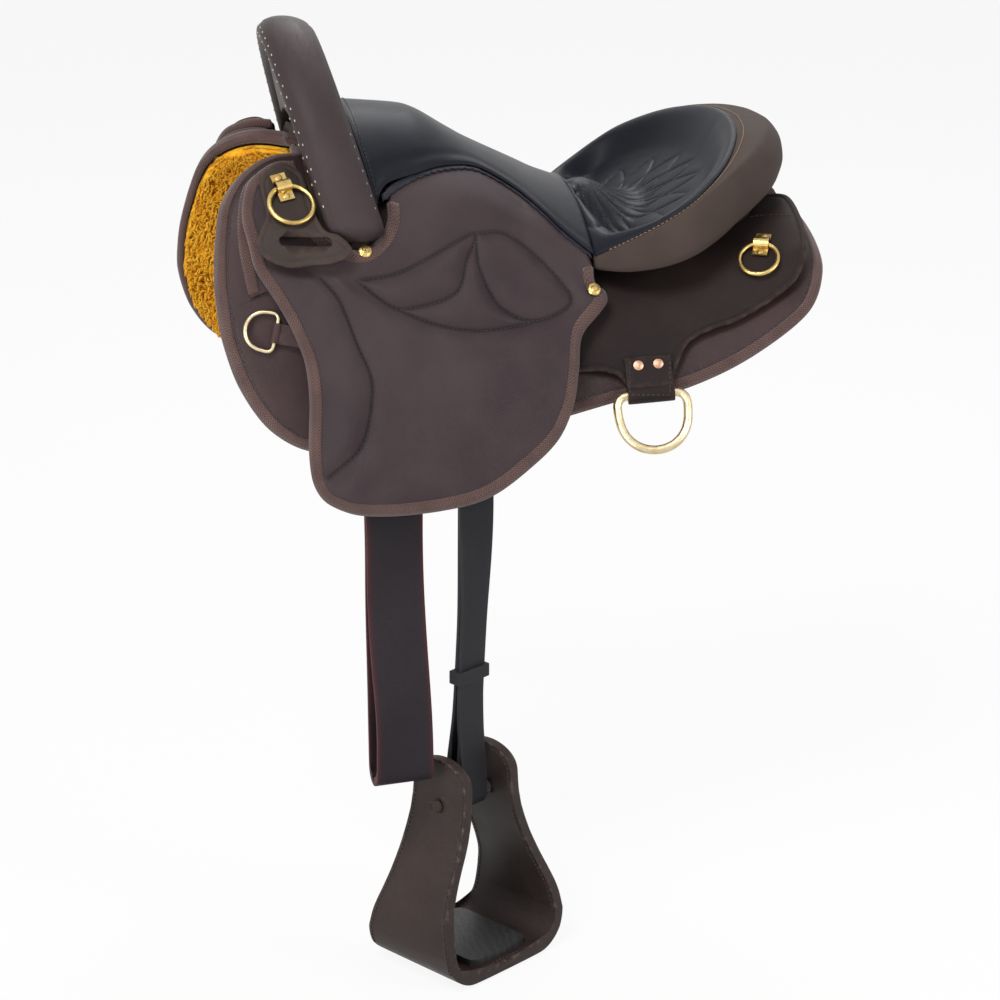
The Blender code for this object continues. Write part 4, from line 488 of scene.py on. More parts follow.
# %% Flat geometry
def inside(loop, places):
    """Which places lie inside a closed line."""
    a, b = loop, np.roll(loop, -1, 0)
    found = np.zeros(len(places), bool)
    for p, q in zip(a, b):
        crosses = (p[1] > places[:, 1]) != (q[1] > places[:, 1])
        if crosses.any():
            found ^= crosses & (places[:, 0] < p[0] + (places[:, 1] - p[1]) * (q[0] - p[0]) / (q[1] - p[1]))
    return found


def reach(places, line, closed=True):
    """Shortest distance from places to a line."""
    best = np.full(len(places), 1.0)
    ends = zip(line, np.roll(line, -1, 0)) if closed else zip(line[:-1], line[1:])
    for a, b in ends:
        edge = b - a
        size = edge @ edge
        if size > 0:
            t = np.clip((places - a) @ edge / size, 0, 1)[:, None]
            best = np.minimum(best, np.linalg.norm(places - a - edge * t, axis=1))
    return best


def inward(loop):
    """Unit directions square to a closed line, towards its inside."""
    run = np.roll(loop, -1, 0) - np.roll(loop, 1, 0)
    side = unit(np.stack([-run[:, 1], run[:, 0]], 1), TINY)
    area = np.sum(loop[:, 0] * np.roll(loop[:, 1], -1) - np.roll(loop[:, 0], -1) * loop[:, 1])
    return side if area > 0 else -side


ROW_SHARE = 0.87                # height of an even triangle
EDGE_ROWS = (0.4, 1.0, 2.0)     # rows of vertices inside an edge, mm
SEAM_ROWS = (0, 0.6, -0.6, 1.4, -1.4, 2.6, -2.6)        # and beside a seam
SEAM_ROOM, EDGE_ROOM, LEAST_GAP = 3.6 * MM, 3 * MM, 0.45 * MM


def flat_net(outline, pitch, holes=(), rows=EDGE_ROWS, lines=()):
    """Net over a pattern: vertices, triangles, and the numbers of the vertices along each edge."""
    loops = [outline] + list(holes)
    low, high = outline.min(0), outline.max(0)
    grid = []
    for j, s in enumerate(np.arange(low[1], high[1], pitch * ROW_SHARE)):
        xs = np.arange(low[0] + (j % 2) * pitch / 2, high[0], pitch)
        grid.append(np.stack([xs, np.full_like(xs, s)], 1))
    grid = np.concatenate(grid)
    keep = inside(outline, grid)
    for loop in holes:
        keep &= ~inside(loop, grid)
    for loop in loops:
        keep[keep] &= reach(grid[keep], loop) > rows[-1] * MM + pitch * 0.35
    parts = loops[:]
    for n, loop in enumerate(loops):
        side = inward(loop) * (1 if n == 0 else -1)
        for row in rows:
            ring = loop + side * row * MM
            parts.append(ring[reach(ring, loop) > row * MM * 0.93])
    grid = grid[keep]
    beside = []
    for line in lines:
        run = np.gradient(line, axis=0)
        side = unit(np.stack([-run[:, 1], run[:, 0]], 1))
        beside += [line + side * row * MM for row in SEAM_ROWS]
        grid = grid[reach(grid, line, closed=False) > SEAM_ROOM]
    if beside:
        beside = np.concatenate(beside)
        beside = beside[inside(outline, beside)]
        beside = beside[reach(beside, outline) > EDGE_ROOM]
        _, first = np.unique(np.round(beside / LEAST_GAP), axis=0, return_index=True)
        parts.append(beside[np.sort(first)])
    places = np.concatenate(parts + [grid])
    starts = np.cumsum([0] + [len(loop) for loop in loops])
    faces = [list(range(a, b)) for a, b in zip(starts, starts[1:])]
    found = delaunay_2d_cdt([Vector(p) for p in places], [], faces, 1, 1e-7)
    spots = np.array([tuple(p) for p in found[0]])
    triangles = np.array([face for face in found[2] if len(face) == 3])
    middle = spots[triangles].mean(1)
    for loop in holes:
        triangles = triangles[~inside(loop, middle)]
        middle = spots[triangles].mean(1)
    rim = {old: new for new, olds in enumerate(found[3]) for old in olds if old < starts[-1]}
    return spots, triangles, [[rim[i] for i in range(a, b)] for a, b in zip(starts, starts[1:])]


def grid_faces(rows, columns, closed_rows=False, closed_columns=True):
    """Quads over a grid of vertices given row by row."""
    faces = []
    for i in range(rows if closed_rows else rows - 1):
        for k in range(columns if closed_columns else columns - 1):
            a, b = i * columns, (i + 1) % rows * columns
            m = (k + 1) % columns
            faces.append((a + k, a + m, b + m, b + k))
    return faces


def end_caps(rows, columns):
    return [tuple(range(columns)), tuple(range((rows - 1) * columns, rows * columns))]


def shell_faces(triangles, rims, count):
    """A net's triangles on top, the same below, and the walls between their edges."""
    faces = triangles.tolist() + (triangles[:, ::-1] + count).tolist()
    for rim in rims:
        faces += [(a, b, b + count, a + count) for a, b in zip(rim, rim[1:] + rim[:1])]
    return faces


# %% A piece of laid leather
# reach of the worn edges, and of the painted shade beside a seam
WORN_REACH, SEAM_SHADE_REACH = 1.6 * MM, 0.8 * MM


def body_of(node):
    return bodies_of(frame['nodes'][node])[0]


def solid_tree(piece):
    """A piece's faces, ready for rays."""
    return BVHTree.FromPolygons([v.co[:] for v in piece.data.vertices], [p.vertices[:] for p in piece.data.polygons])


def finish_piece(name, verts, faces, finish, uv=None, marks=None, twin=False):
    """Object from arrays; twin makes it for the far side."""
    verts = np.array(verts, float)
    if twin:
        verts = verts * (1, -1, 1)
    mesh = bpy.data.meshes.new(name)
    mesh.from_pydata(verts.tolist(), [], [tuple(int(i) for i in face) for face in faces])
    for mark, values in (marks or {}).items():
        mesh.attributes.new(mark, 'FLOAT', 'POINT').data.foreach_set('value', np.asarray(values, np.float32))
    if uv is not None:
        corner = np.zeros(len(mesh.loops), int)
        mesh.loops.foreach_get('vertex_index', corner)
        mesh.uv_layers.new(name='cut').data.foreach_set('uv', np.asarray(uv, np.float32)[corner].ravel())
    bm = bmesh.new()
    bm.from_mesh(mesh)
    bmesh.ops.recalc_face_normals(bm, faces=bm.faces)
    bm.to_mesh(mesh)
    bm.free()
    mesh.shade_smooth()
    mesh.materials.append(finish)
    piece = bpy.data.objects.new(name, mesh)
    scene.collection.objects.link(piece)
    return piece


def twins(name, sides, ride_on, *shape):
    """A piece on each of the sides, hung on its body there; ride_on names the near one."""
    made = []
    for side in sides:
        piece = finish_piece(f'{name}_{side}', *shape, twin=side == 'far')
        if ride_on:
            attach(piece, ride_on.replace('near', side))
        made.append(piece)
    return made


def dress(piece, nodes, body='saddle'):
    """Hang a piece on its body in place of its solids."""
    if body:
        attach(piece, body)
    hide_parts(*nodes)


class Cut:
    """A sheet cut to an outline and laid between two heights."""

    def __init__(self, outline, under, over, roll=2.0 * MM, holes=(), lines=(), rows=EDGE_ROWS):
        self.outline, self.under, self.over, self.roll = outline, under, over, roll
        self.holes, self.lines, self.rows = list(holes), list(lines), rows

    def faces_at(self, x, s):
        """Lift of the outer and inner face, with the rolled edge."""
        places = np.stack([x, s], 1)
        edge = np.min([reach(places, loop) for loop in [self.outline] + self.holes], axis=0)
        edge = np.where(inside(self.outline, places), edge, 0.0)
        top, low = self.over(x, s, edge), self.under(x, s)
        r = np.minimum(self.roll, np.maximum(top - low, 0.2 * MM) * 0.48)
        drop = r * (1 - np.sqrt(np.maximum(1 - (1 - np.clip(edge / r, 0, 1)) ** 2, 0)))
        return top - drop, low + drop, edge

    def mesh(self, pitch):
        spots, triangles, rims = flat_net(self.outline, pitch, self.holes, self.rows, self.lines)
        top, low, edge = self.faces_at(spots[:, 0], spots[:, 1])
        count = len(spots)
        verts = np.concatenate([skin(spots[:, 0], spots[:, 1], top), skin(spots[:, 0], spots[:, 1], low)])
        faces = shell_faces(triangles, rims, count)
        seam = np.full(count, 1.0)
        for line in self.lines:
            seam = np.minimum(seam, reach(spots, line, closed=False))
        # the 'seam' mark carries painted shade, darkest on the seam lines
        marks = {'worn': np.exp(-np.concatenate([edge, edge]) / WORN_REACH),
                 'seam': np.concatenate([swell(seam, 0, SEAM_SHADE_REACH), np.zeros(count)])}
        return verts, faces, np.concatenate([spots, spots]), marks


def lay(name, cut, pitch, finish):
    """A single ply of leather on each side of the saddle, in place of its solid."""
    verts, faces, uv, marks = cut.mesh(pitch)
    for side in SIDES:
        piece = finish_piece(f'{name}_{side}_hide', verts, faces, finish, uv, marks, side == 'far')
        dress(piece, [f'{name}_{side}'])
    print(f'{name}: {len(faces)} faces')


# %% Tape folded over an edge
TAPE_WIDTH, TAPE_THICK, TAPE_BELOW = 8.5 * MM, 0.9 * MM, 5 * MM


def bind(name, cut, ride_on, span=None, sides=SIDES):
    """Tape round a cut's edge: a flat band on the outer face that turns over the edge to the inner face."""
    width, thick, below = TAPE_WIDTH, TAPE_THICK, TAPE_BELOW
    loop = cut.outline
    side = inward(loop)
    closed = span is None
    if not closed:
        keep = np.array([span(*p) for p in loop])
        first = int(np.argmax(keep & ~np.roll(keep, 1)))
        loop, side, keep = np.roll(loop, -first, 0), np.roll(side, -first, 0), np.roll(keep, -first)
        count = int(np.argmin(keep)) if not keep.all() else len(loop)
        loop, side = loop[:count], side[:count]
    # inset from the edge, share of the way from inner to outer face, and lift in thicknesses of the tape
    outer = [(width, 1, 0.05), (width - 0.25 * MM, 1, 0.8), (width * 0.7, 1, 1.0), (width * 0.4, 1, 1.0),
             (2.0 * MM, 1, 1.0), (0.8 * MM, 1, 1.0), (0.2 * MM, 1, 0.9), (-thick, 0.72, 0.3), (-thick, 0.28, 0.3),
             (0.2 * MM, 0, 0.9), (1.0 * MM, 0, 1.0), (below - 0.4 * MM, 0, 0.9), (below, 0, 0.1)]
    inner = [(below, 0, -0.3), (1.5 * MM, 0, -0.3), (1.2 * MM, 0.5, 0.0), (1.5 * MM, 1, -0.3), (width, 1, -0.3)]
    columns, across, run_across = [], [], 0.0
    for n, (inset, share, lift) in enumerate(outer + inner):
        spot = loop + side * max(inset, 0.15 * MM)
        top, low, _ = cut.faces_at(spot[:, 0], spot[:, 1])
        height = lerp(low, top, share) + (1 if share > 0.5 else -1) * thick * lift
        place = loop + side * inset
        columns.append(skin(place[:, 0], place[:, 1], height))
        if n:
            run_across += float(np.linalg.norm(columns[-1] - columns[-2], axis=1).mean())
        across.append(run_across)
    columns = np.stack(columns, 1)
    step = np.linalg.norm(np.diff(loop, axis=0), axis=1)
    run = np.concatenate([[0], np.cumsum(step)])
    rows, wide = columns.shape[:2]
    uv = np.stack([np.repeat(run, wide), np.tile(across, rows)], 1)
    faces = grid_faces(rows, wide, closed_rows=closed) + ([] if closed else end_caps(rows, wide))
    print(f'{name} tape: {run[-1] / MM:.0f} mm')
    return twins(f'{name}_tape', sides, ride_on, columns.reshape(-1, 3), faces, tape, uv)


# %% Stitches
THREAD_CORNERS = 6
MIDDLE = ('near',)             # a row that is made once, without a twin on the far side
STITCH = ((-1, 0.35, -0.9), (-0.8, 0.9, -0.1), (-0.3, 1, 0.35),
          (0.3, 1, 0.35), (0.8, 0.9, -0.1), (1, 0.35, -0.9))     # along, width and height, as shares


def stitches(name, places, outward, ride_on, thread, pitch=4.2 * MM, size=2.7 * MM, thick=0.42 * MM, sides=SIDES):
    """Row of separate thread stitches along places on a surface, each end sinking into the leather."""
    places, outward = np.asarray(places, float), np.asarray(outward, float)
    run = np.concatenate([[0], np.cumsum(np.linalg.norm(np.diff(places, axis=0), axis=1))])
    goals = np.arange(pitch / 2, run[-1], pitch)

    def at(distances, values):
        return np.stack([np.interp(distances, run, values[:, k]) for k in range(3)], 1)

    middle = at(goals, places)
    go = unit(at(goals + size / 2, places) - at(goals - size / 2, places), TINY)
    side = unit(np.cross(at(goals, outward), go), TINY)
    normal = np.cross(go, side)
    verts = []
    for t, wide, up in STITCH:
        for k in range(THREAD_CORNERS):
            angle = 2 * math.pi * k / THREAD_CORNERS
            verts.append(middle + go * (t * size / 2) + side * (math.cos(angle) * wide * thick)
                         + normal * ((math.sin(angle) * wide + up) * thick))
    verts = np.stack(verts, 1)
    per = verts.shape[1]
    shape = end_caps(len(STITCH), THREAD_CORNERS) + grid_faces(len(STITCH), THREAD_CORNERS)
    faces = [tuple(i + n * per for i in face) for n in range(len(goals)) for face in shape]
    return twins(f'{name}_stitches', sides, ride_on, verts.reshape(-1, 3), faces, thread)


def upward(places):
    return np.tile((0.0, 0.0, 1.0), (len(places), 1))


def sew(name, line, cut, ride_on, thread=dark_thread, **sizes):
    """Stitches along a line of the pattern, on a cut's outer face."""
    line = np.asarray(line, float)
    top, _, _ = cut.faces_at(line[:, 0], line[:, 1])
    places = skin(line[:, 0], line[:, 1], top)
    return stitches(name, places, skin(line[:, 0], line[:, 1], top + 1 * MM) - places, ride_on, thread, **sizes)


# %% [markdown]
# ## Panels and fleece
# The stuffed panels lie on the horse. Their leather is drawn tight by the bound edge and swells behind it, and
# the side towards the horse is lined with deep golden fleece that shows through the gullet.

# %% Heights of the layers
PANEL_UNDER, PANEL_EDGE, PANEL_CROWN, PANEL_REAR_CROWN = -8 * MM, 0.0, 7.5 * MM, 3 * MM
PANEL_SINK, LAYER_GAP, GAP = 7.5 * MM, 1.2 * MM, 0.3 * MM
BAR_THICK, LEATHER, FLEECE_THICK = 8.4 * MM, 4 * MM, 11 * MM
PANEL_CUT = [(-196, 22), (-196, 22), (-195, 34), (-214, 46), (-232, 59), (-251, 77), (-264, 98), (-270, 126),
             (-273, 160), (-272, 186), (-269, 212), (-257, 254), (-235, 291), (-207, 306), (-150, 300),
             (-80, 268), (-10, 228), (60, 206), (124, 203), (185, 189), (232, 166), (250, 132), (253, 94),
             (250, 41), (248, 22), (248, 22)]
FAR_FORWARD = 14 * MM


def sink(x):
    return PANEL_SINK * ease(x / (50 * MM)) * (1 - ease((x - 140 * MM) / (50 * MM)))


def panel_top(x, s, edge):
    full = lerp(PANEL_CROWN, PANEL_REAR_CROWN, ease((x + 60 * MM) / (90 * MM)) * ease((s - 105 * MM) / (40 * MM)))
    rise = 1 - np.exp(-edge / (9 * MM))
    return lerp(PANEL_EDGE, full, rise) - sink(x) * (1 - ease((s - 108 * MM) / (20 * MM)))


def swung_forward(line):
    """A near outline with its front corner moved towards the horse's head."""
    shift = FAR_FORWARD * ease((line[:, 1] - 95 * MM) / (130 * MM)) * ease((-170 * MM - line[:, 0]) / (50 * MM))
    return line - np.stack([shift, 0 * shift], 1)


def panel_line(side):
    """The panel's cut; the far panel hangs further forward towards its front corner."""
    line = rounded(PANEL_CUT, 3 * MM)
    return swung_forward(line) if side == 'far' else line


# %% Panels
PANEL_PITCH, PANEL_ROLL, STITCH_INSET = 4.5 * MM, 3.5 * MM, 1.6 * MM
for side in SIDES:
    line = panel_line(side)
    cut = Cut(line, lambda x, s: np.full_like(x, PANEL_UNDER), panel_top, PANEL_ROLL)
    verts, faces, uv, marks = cut.mesh(PANEL_PITCH)
    piece = finish_piece(f'panel_{side}_hide', verts, faces, panel_brown, uv, marks, side == 'far')
    dress(piece, [f'panel_{side}'])
    bind(f'panel_{side}', cut, 'saddle', sides=(side,))
    sew(f'panel_{side}', line + inward(line) * (TAPE_WIDTH + STITCH_INSET), cut, 'saddle', sides=(side,))

# %% Fleece lining
WOOL_PITCH, FLEECE_INSET, PANEL_MIDDLE = 2.6 * MM, 5 * MM, np.array((-10, 140)) * MM
WOOL_SEED, LOCK_LONG = 7, (5, 9)
LOCK_COUNT = {'near': 7000, 'far': 19000}        # the far lining shows through the gullet


def wool(places, size):
    """Clumped height of the pile at places, 0 to 1."""
    return np.array([noise.turbulence(Vector(p) * size, 3, False) for p in places])


def locks(side, line, lift, count):
    """Fine tapered locks of wool, combed loosely down over the pile and out past its edge."""
    chance = np.random.default_rng(WOOL_SEED)
    low, high = line.min(0) - 2 * MM, line.max(0) + 2 * MM
    spots = chance.uniform(low, high, (count * 2, 2))
    spots = spots[inside(line, spots)][:count]
    lifts = np.full(len(spots), lift)
    spots = np.concatenate([spots, np.repeat(line + inward(line) * 1.2 * MM, 5, 0)])
    lifts = np.concatenate([lifts, lift + chance.uniform(1, FLEECE_THICK / MM - 2.5, len(spots) - len(lifts)) * MM])
    heading = chance.normal(math.pi / 2, 1.0, len(spots))
    size = chance.uniform(*LOCK_LONG, len(spots)) * MM
    tips = spots + np.stack([np.cos(heading), np.sin(heading)], 1) * size[:, None]
    stray = 1.6 * MM if side == 'far' else -1 * MM
    keep = np.where(inside(line, tips), -1.0, 1.0) * reach(tips, line) < stray
    spots, heading, size, lifts = spots[keep], heading[keep], size[keep], lifts[keep]
    rings = []
    for share, radius, drop in ((0.0, 1.0, -1.0), (0.5, 0.85, 1.5), (1.0, 0.15, 1.0)):
        x = spots[:, 0] + np.cos(heading) * size * share
        s = spots[:, 1] + np.sin(heading) * size * share
        for k in range(3):
            turn_k = 2 * math.pi * k / 3
            wide = radius * MM * math.cos(turn_k)
            rings.append(skin(x - np.sin(heading) * wide, s + np.cos(heading) * wide,
                              lifts - drop * MM - radius * MM * math.sin(turn_k)))
    verts = np.stack(rings, 1).reshape(-1, 3)
    shape = [(0, 1, 4, 3), (1, 2, 5, 4), (2, 0, 3, 5), (3, 4, 7, 6), (4, 5, 8, 7), (5, 3, 6, 8), (8, 7, 6)]
    faces = [tuple(i + 9 * n for i in face) for n in range(len(spots)) for face in shape]
    piece = finish_piece(f'fleece_{side}_locks', verts, faces, fleece, twin=side == 'far')
    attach(piece, 'saddle')


for side in SIDES:
    line = panel_line(side)
    line = line + unit(PANEL_MIDDLE - line) * FLEECE_INSET
    top = PANEL_UNDER - LAYER_GAP
    cut = Cut(line, lambda x, s: np.full_like(x, top - FLEECE_THICK), lambda x, s, e: np.full_like(x, top), 5 * MM)
    verts, faces, uv, marks = cut.mesh(WOOL_PITCH if side == 'far' else 2 * WOOL_PITCH)
    count = len(verts) // 2
    pile = wool(verts[count:], 70.0) * 3.4 * MM + wool(verts[count:], 260.0) * 1.6 * MM - 2.4 * MM
    up = skin(uv[count:, 0], uv[count:, 1], 1 * MM) - skin(uv[count:, 0], uv[count:, 1], 0)
    verts[count:] -= up / MM * pile[:, None]
    piece = finish_piece(f'fleece_{side}_pile', verts, faces, fleece, uv, None, side == 'far')
    dress(piece, [f'fleece_{side}'])
    locks(side, line, top - FLEECE_THICK, LOCK_COUNT[side])
print('panels and fleece laid')

# %% [markdown]
# ## Skirts
# Single plies of harness leather. The front skirt under the plate is bound with tape; the rigging skirt under
# the cantle has a bare cut edge with a line creased beside it.

# %% Skirts
FRONT_SKIRT_CUT = [(-197, 66), (-197, 66), (-215, 70), (-232, 79), (-245, 92), (-251, 113), (-252, 138),
                   (-249, 161), (-246, 180), (-246, 180), (-230, 176), (-214, 174), (-197, 174), (-197, 174)]
RIG_SKIRT_CUT = [(24, 66), (24, 66), (150, 66), (190, 64), (203, 46), (220, 38), (236, 46), (240, 66), (238, 109),
                 (227, 138), (205, 151), (170, 161), (140, 164), (124, 170), (114, 184), (108, 196), (108, 196),
                 (68, 196), (68, 196), (62, 187), (47, 182), (24, 182), (24, 182)]


def bar_under(x):
    return PANEL_CROWN + LAYER_GAP - sink(x)


def on_bar(x):
    return bar_under(x) + BAR_THICK + GAP


def rig_skirt_under(x, s):
    return lerp(on_bar(x) + 3 * GAP, 8 * MM, ease((s - 116 * MM) / (42 * MM)))


def ply(under, thick):
    return lambda x, s, edge: under(x, s) + thick


def flat_under(x, s):
    return np.full_like(x, PANEL_CROWN + LAYER_GAP)


front_skirt_cut = Cut(rounded(FRONT_SKIRT_CUT, 3 * MM), flat_under, ply(flat_under, 3 * MM), 1.4 * MM)
lay('front_skirt', front_skirt_cut, 5 * MM, brown)
bind('front_skirt', front_skirt_cut, 'saddle', span=lambda x, s: x < -205 * MM and s < 178 * MM)


def rig_skirt_over(x, s, edge):
    crease = 0.7 * MM * swell(edge, 5.5 * MM, 0.9 * MM)
    return rig_skirt_under(x, s) + LEATHER - crease


CREASE_ROWS = (0.4, 1.0, 2.0, 3.2, 4.4, 4.95, 5.5, 6.05, 6.8)
rig_skirt_cut = Cut(rounded(RIG_SKIRT_CUT, 3 * MM), rig_skirt_under, rig_skirt_over, 1.6 * MM, rows=CREASE_ROWS)
# the rigging skirt takes the darker leather of painted shade
lay('rigging_skirt', rig_skirt_cut, 4 * MM, rig_shade_brown)

# %% [markdown]
# ## Seat
# The narrow seat front and the deep dish are one smooth black hide over foam. The seat's heights are repeated
# here from its solids, so that the flap knows how far it may rise under the seat.

# %% Seat heights
SEAT_LINE = [(-137, 106, 86, 149), (-112, 88, 98, 146), (-85, 75, 105, 138), (-56, 60, 104, 120),
             (-37, 56, 99, 108), (-8, 66, 82, 93), (9, 84, 69, 84), (27, 100, 52, 75), (50, 119, 34, 66)]
SEAM_X = 50 * MM
SEAT_CROWN_POWER = 2.2
SEAT_EDGE_THICK, SEAT_THICK, SEAT_EDGE_BAND, SEAT_LAP = 3 * MM, 15 * MM, 14 * MM, 8 * MM
POMMEL_TOP, POMMEL_FOOT, POMMEL_SPREAD, POMMEL_X, POMMEL_LEAN = 203 * MM, 67 * MM, 110 * MM, -193 * MM, 0.27
ROLL_DEPTH, ROLL_OUT, ROLL_IN, ROLL_WALL = 48 * MM, 20 * MM, 8 * MM, 6.5 * MM


def seat_half_width(x):
    return along(SEAT_LINE, x, 1)


def seat_height(x, across):
    edge, middle = along(SEAT_LINE, x, 2), along(SEAT_LINE, x, 3)
    return edge + (middle - edge) * (1 - np.abs(across) ** SEAT_CROWN_POWER)


def seat_thickness(inner):
    return lerp(SEAT_EDGE_THICK, SEAT_THICK, ease((inner - SEAT_EDGE_BAND) / (30 * MM)))


def seat_underside(x, y):
    half = seat_half_width(x)
    return seat_height(x, np.minimum(np.abs(y) / half, 1)) - seat_thickness(half - np.abs(y))


def pommel_back(z):
    return POMMEL_X + (POMMEL_TOP - z) * POMMEL_LEAN + ROLL_DEPTH / 2 + GAP


def seat_x(x, z):
    blend = 1 - ease((x - SEAT_LINE[0][0] * MM) / (45 * MM))
    return lerp(x, pommel_back(z) + 1 * MM, blend)


# %% Seat front
def seat_lip(x, inner):
    """How far the seat's front corners are drawn down towards the flap."""
    return 11 * MM * ease((-110 * MM - x) / (18 * MM)) * (1 - ease(inner / (18 * MM)))


SEAT_ROWS, SEAT_COLUMNS = 72, 90
xs = np.linspace(SEAT_LINE[0][0] * MM, SEAM_X - GAP / 2, SEAT_ROWS)
turns = np.sin(np.linspace(-math.pi / 2, math.pi / 2, SEAT_COLUMNS))
verts = []
for x in xs:
    half = seat_half_width(x)
    y = half * turns
    top = seat_height(np.full_like(turns, x), turns)
    inner = half - np.abs(y)
    roll = 1.2 * MM * (1 - ease(inner / (2.5 * MM)))
    gather = 0.25 * MM * np.sin(x / (5.5 * MM)) * swell(inner, 12 * MM, 6 * MM)
    groove = 0.7 * MM * swell(inner, 10 * MM, 4 * MM)
    low = top - seat_thickness(inner)
    lip = seat_lip(x, inner)
    upper = top - roll - groove - gather * 0.5 - lip
    low = low - lip
    ring = np.concatenate([np.stack([y, upper], 1), np.stack([y, low + roll], 1)[::-1]])
    verts.append(np.stack([seat_x(x, ring[:, 1]), ring[:, 0], ring[:, 1]], 1))
verts = np.concatenate(verts)
wide = 2 * SEAT_COLUMNS
faces = grid_faces(SEAT_ROWS, wide) + end_caps(SEAT_ROWS, wide)
seat_front = finish_piece('seat_front_hide', verts, faces, black)
dress(seat_front, ['seat_front'])
print('seat front', len(faces), 'faces')

# %% Dish
RIM_LINE = [(50, 119), (77, 132), (104, 141), (128, 140), (152, 123), (171, 99), (186, 66), (194, 34), (197, 0)]
RIM_SLOPE, RIM_Z, DISH_DEPTH, DISH_THICK = 0.60, 34 * MM, 22 * MM, 8 * MM
RIM = rounded(RIM_LINE, 3 * MM, closed=False)
RIM = np.concatenate([RIM * (1, -1), RIM[-2::-1]])


def rim_plane(x):
    return RIM_Z + RIM_SLOPE * (x - SEAM_X)


def dish_height(r, turn, x):
    middle = SEAT_LINE[-1][3] * MM - RIM_Z
    across = 1 - r ** SEAT_CROWN_POWER
    bump = middle * lerp(across, 1 - ease(r / 0.5), ease(turn * 2.5))
    bowl = DISH_DEPTH * ease(turn * 2.2) * ease(r / 0.5) * (1 - ease((r - 0.78) / 0.22))
    return rim_plane(x) + bump - bowl


PETALS = 11                     # petals of the stitched fan
PETAL_SPREAD = math.radians(172)
RIM_ROLL, RIM_GROOVE, RIM_DROP = 4.6 * MM, 1.0 * MM, 2.2 * MM
PETAL_LONG, PETAL_SHORT, PETAL_WIDE = 106 * MM, 96 * MM, 0.14
FAN_X = 62 * MM                 # where the fan opens, on the saddle's middle line


def petal_lines():
    """Pointed petals in plan that open to the rear from one place, each lapping the next."""
    lines = []
    for k in range(PETALS):
        share = 2 * k / (PETALS - 1) - 1
        lean = share * PETAL_SPREAD / 2
        size = lerp(PETAL_LONG, PETAL_SHORT, share * share)
        for bulge in (-1, 1):
            t = np.linspace(0.06, 1, 26)
            bend = bulge * size * PETAL_WIDE * np.sin(math.pi * t ** 1.2) ** 0.75 + share * size * 0.14 * t * t
            lines.append(np.stack([FAN_X + size * t * math.cos(lean) - bend * math.sin(lean),
                                   size * t * math.sin(lean) + bend * math.cos(lean)], 1))
        t = np.linspace(0.12, 0.62, 14)
        lines.append(np.stack([FAN_X + size * t * math.cos(lean), size * t * math.sin(lean)], 1))
    return lines


# %% Dish mesh
count = len(RIM)
turn = np.sin(math.pi * np.arange(count) / (count - 1))
turn[[0, -1]] = 0
HUB = np.array((SEAM_X + GAP / 2, 0.0))
fan_lines = petal_lines()


def dish_share(places):
    """How far out towards the rim places in plan lie, and how far round it."""
    arm = places - HUB
    bearing = np.arctan2(arm[:, 1], arm[:, 0])
    rim = RIM - (SEAM_X, 0)
    rim_bearing = np.arctan2(rim[:, 1], rim[:, 0])
    order = np.argsort(rim_bearing)
    long = np.interp(bearing, rim_bearing[order], np.linalg.norm(rim, axis=1)[order])
    size = np.linalg.norm(arm, axis=1)
    return np.minimum(size / long, 1), np.interp(bearing, rim_bearing[order], turn[order]), long - size


def dish_top(places):
    """Height of the dish: rolled rim, bowl, and petals drawn in by their seams."""
    r, round_share, inner = dish_share(places)
    height = dish_height(r, round_share, places[:, 0])
    height += RIM_ROLL * swell(inner, 12 * MM, 7.5 * MM) * ease(round_share * 4)
    height -= RIM_GROOVE * swell(inner, 27 * MM, 3.2 * MM) * ease(round_share * 3)
    height -= RIM_DROP * (1 - ease(inner / (3.5 * MM)))
    seam = np.min([reach(places, line, closed=False) for line in fan_lines], axis=0)
    fan = ease((np.linalg.norm(places - (FAN_X, 0), axis=1) - 4 * MM) / (22 * MM))
    fan *= ease((inner - 26 * MM) / (6 * MM))
    drawn = 1.1 * MM * np.exp(-seam / (0.9 * MM)) + 0.9 * MM * swell(seam, 0, 4 * MM)
    return height - drawn * (0.25 + 0.75 * fan)


seam_line = np.linspace((HUB[0], RIM[-1, 1]), (HUB[0], RIM[0, 1]), 96)[1:-1]
dish_outline = np.concatenate([RIM + (GAP / 2, 0), seam_line])
spots, triangles, rims = flat_net(dish_outline, 2.6 * MM, rows=(1.0, 2.0, 3.2), lines=fan_lines)
top = dish_top(spots)
r, round_share, _ = dish_share(spots)
low = dish_height(r, round_share, spots[:, 0]) - lerp(SEAT_EDGE_THICK, DISH_THICK, ease((1 - r) / 0.3))
verts = np.concatenate([np.column_stack([spots, top]), np.column_stack([spots, low])])
faces = shell_faces(triangles, rims, len(spots))
dish = finish_piece('seat_dish_hide', verts, faces, black)
dress(dish, ['seat_dish'])
LEAST_POINTS = 4                # a petal's line has to keep this many clear of the seam and the fan's root
for n, line in enumerate(fan_lines):
    line = line[(np.linalg.norm(line - (FAN_X, 0), axis=1) > 12 * MM) & (line[:, 0] > SEAM_X + 5 * MM)]
    if len(line) >= LEAST_POINTS:
        stitches(f'petal_{n}', np.column_stack([line, dish_top(line)]), upward(line), 'saddle', navy_thread,
                 pitch=3.6 * MM, size=2.6 * MM, thick=0.4 * MM, sides=MIDDLE)
print('dish', len(faces), 'faces')

# %% [markdown]
# ## Quilted flap
# The flap is one padded sheet that hangs from under the seat. Seams draw its padding in: a knee block along
# the front, two leaves beside the thigh, and an arc below them. It bends where it is lifted to reach the
# girth, so it follows the saddle above the bend and the flap's own body below it.

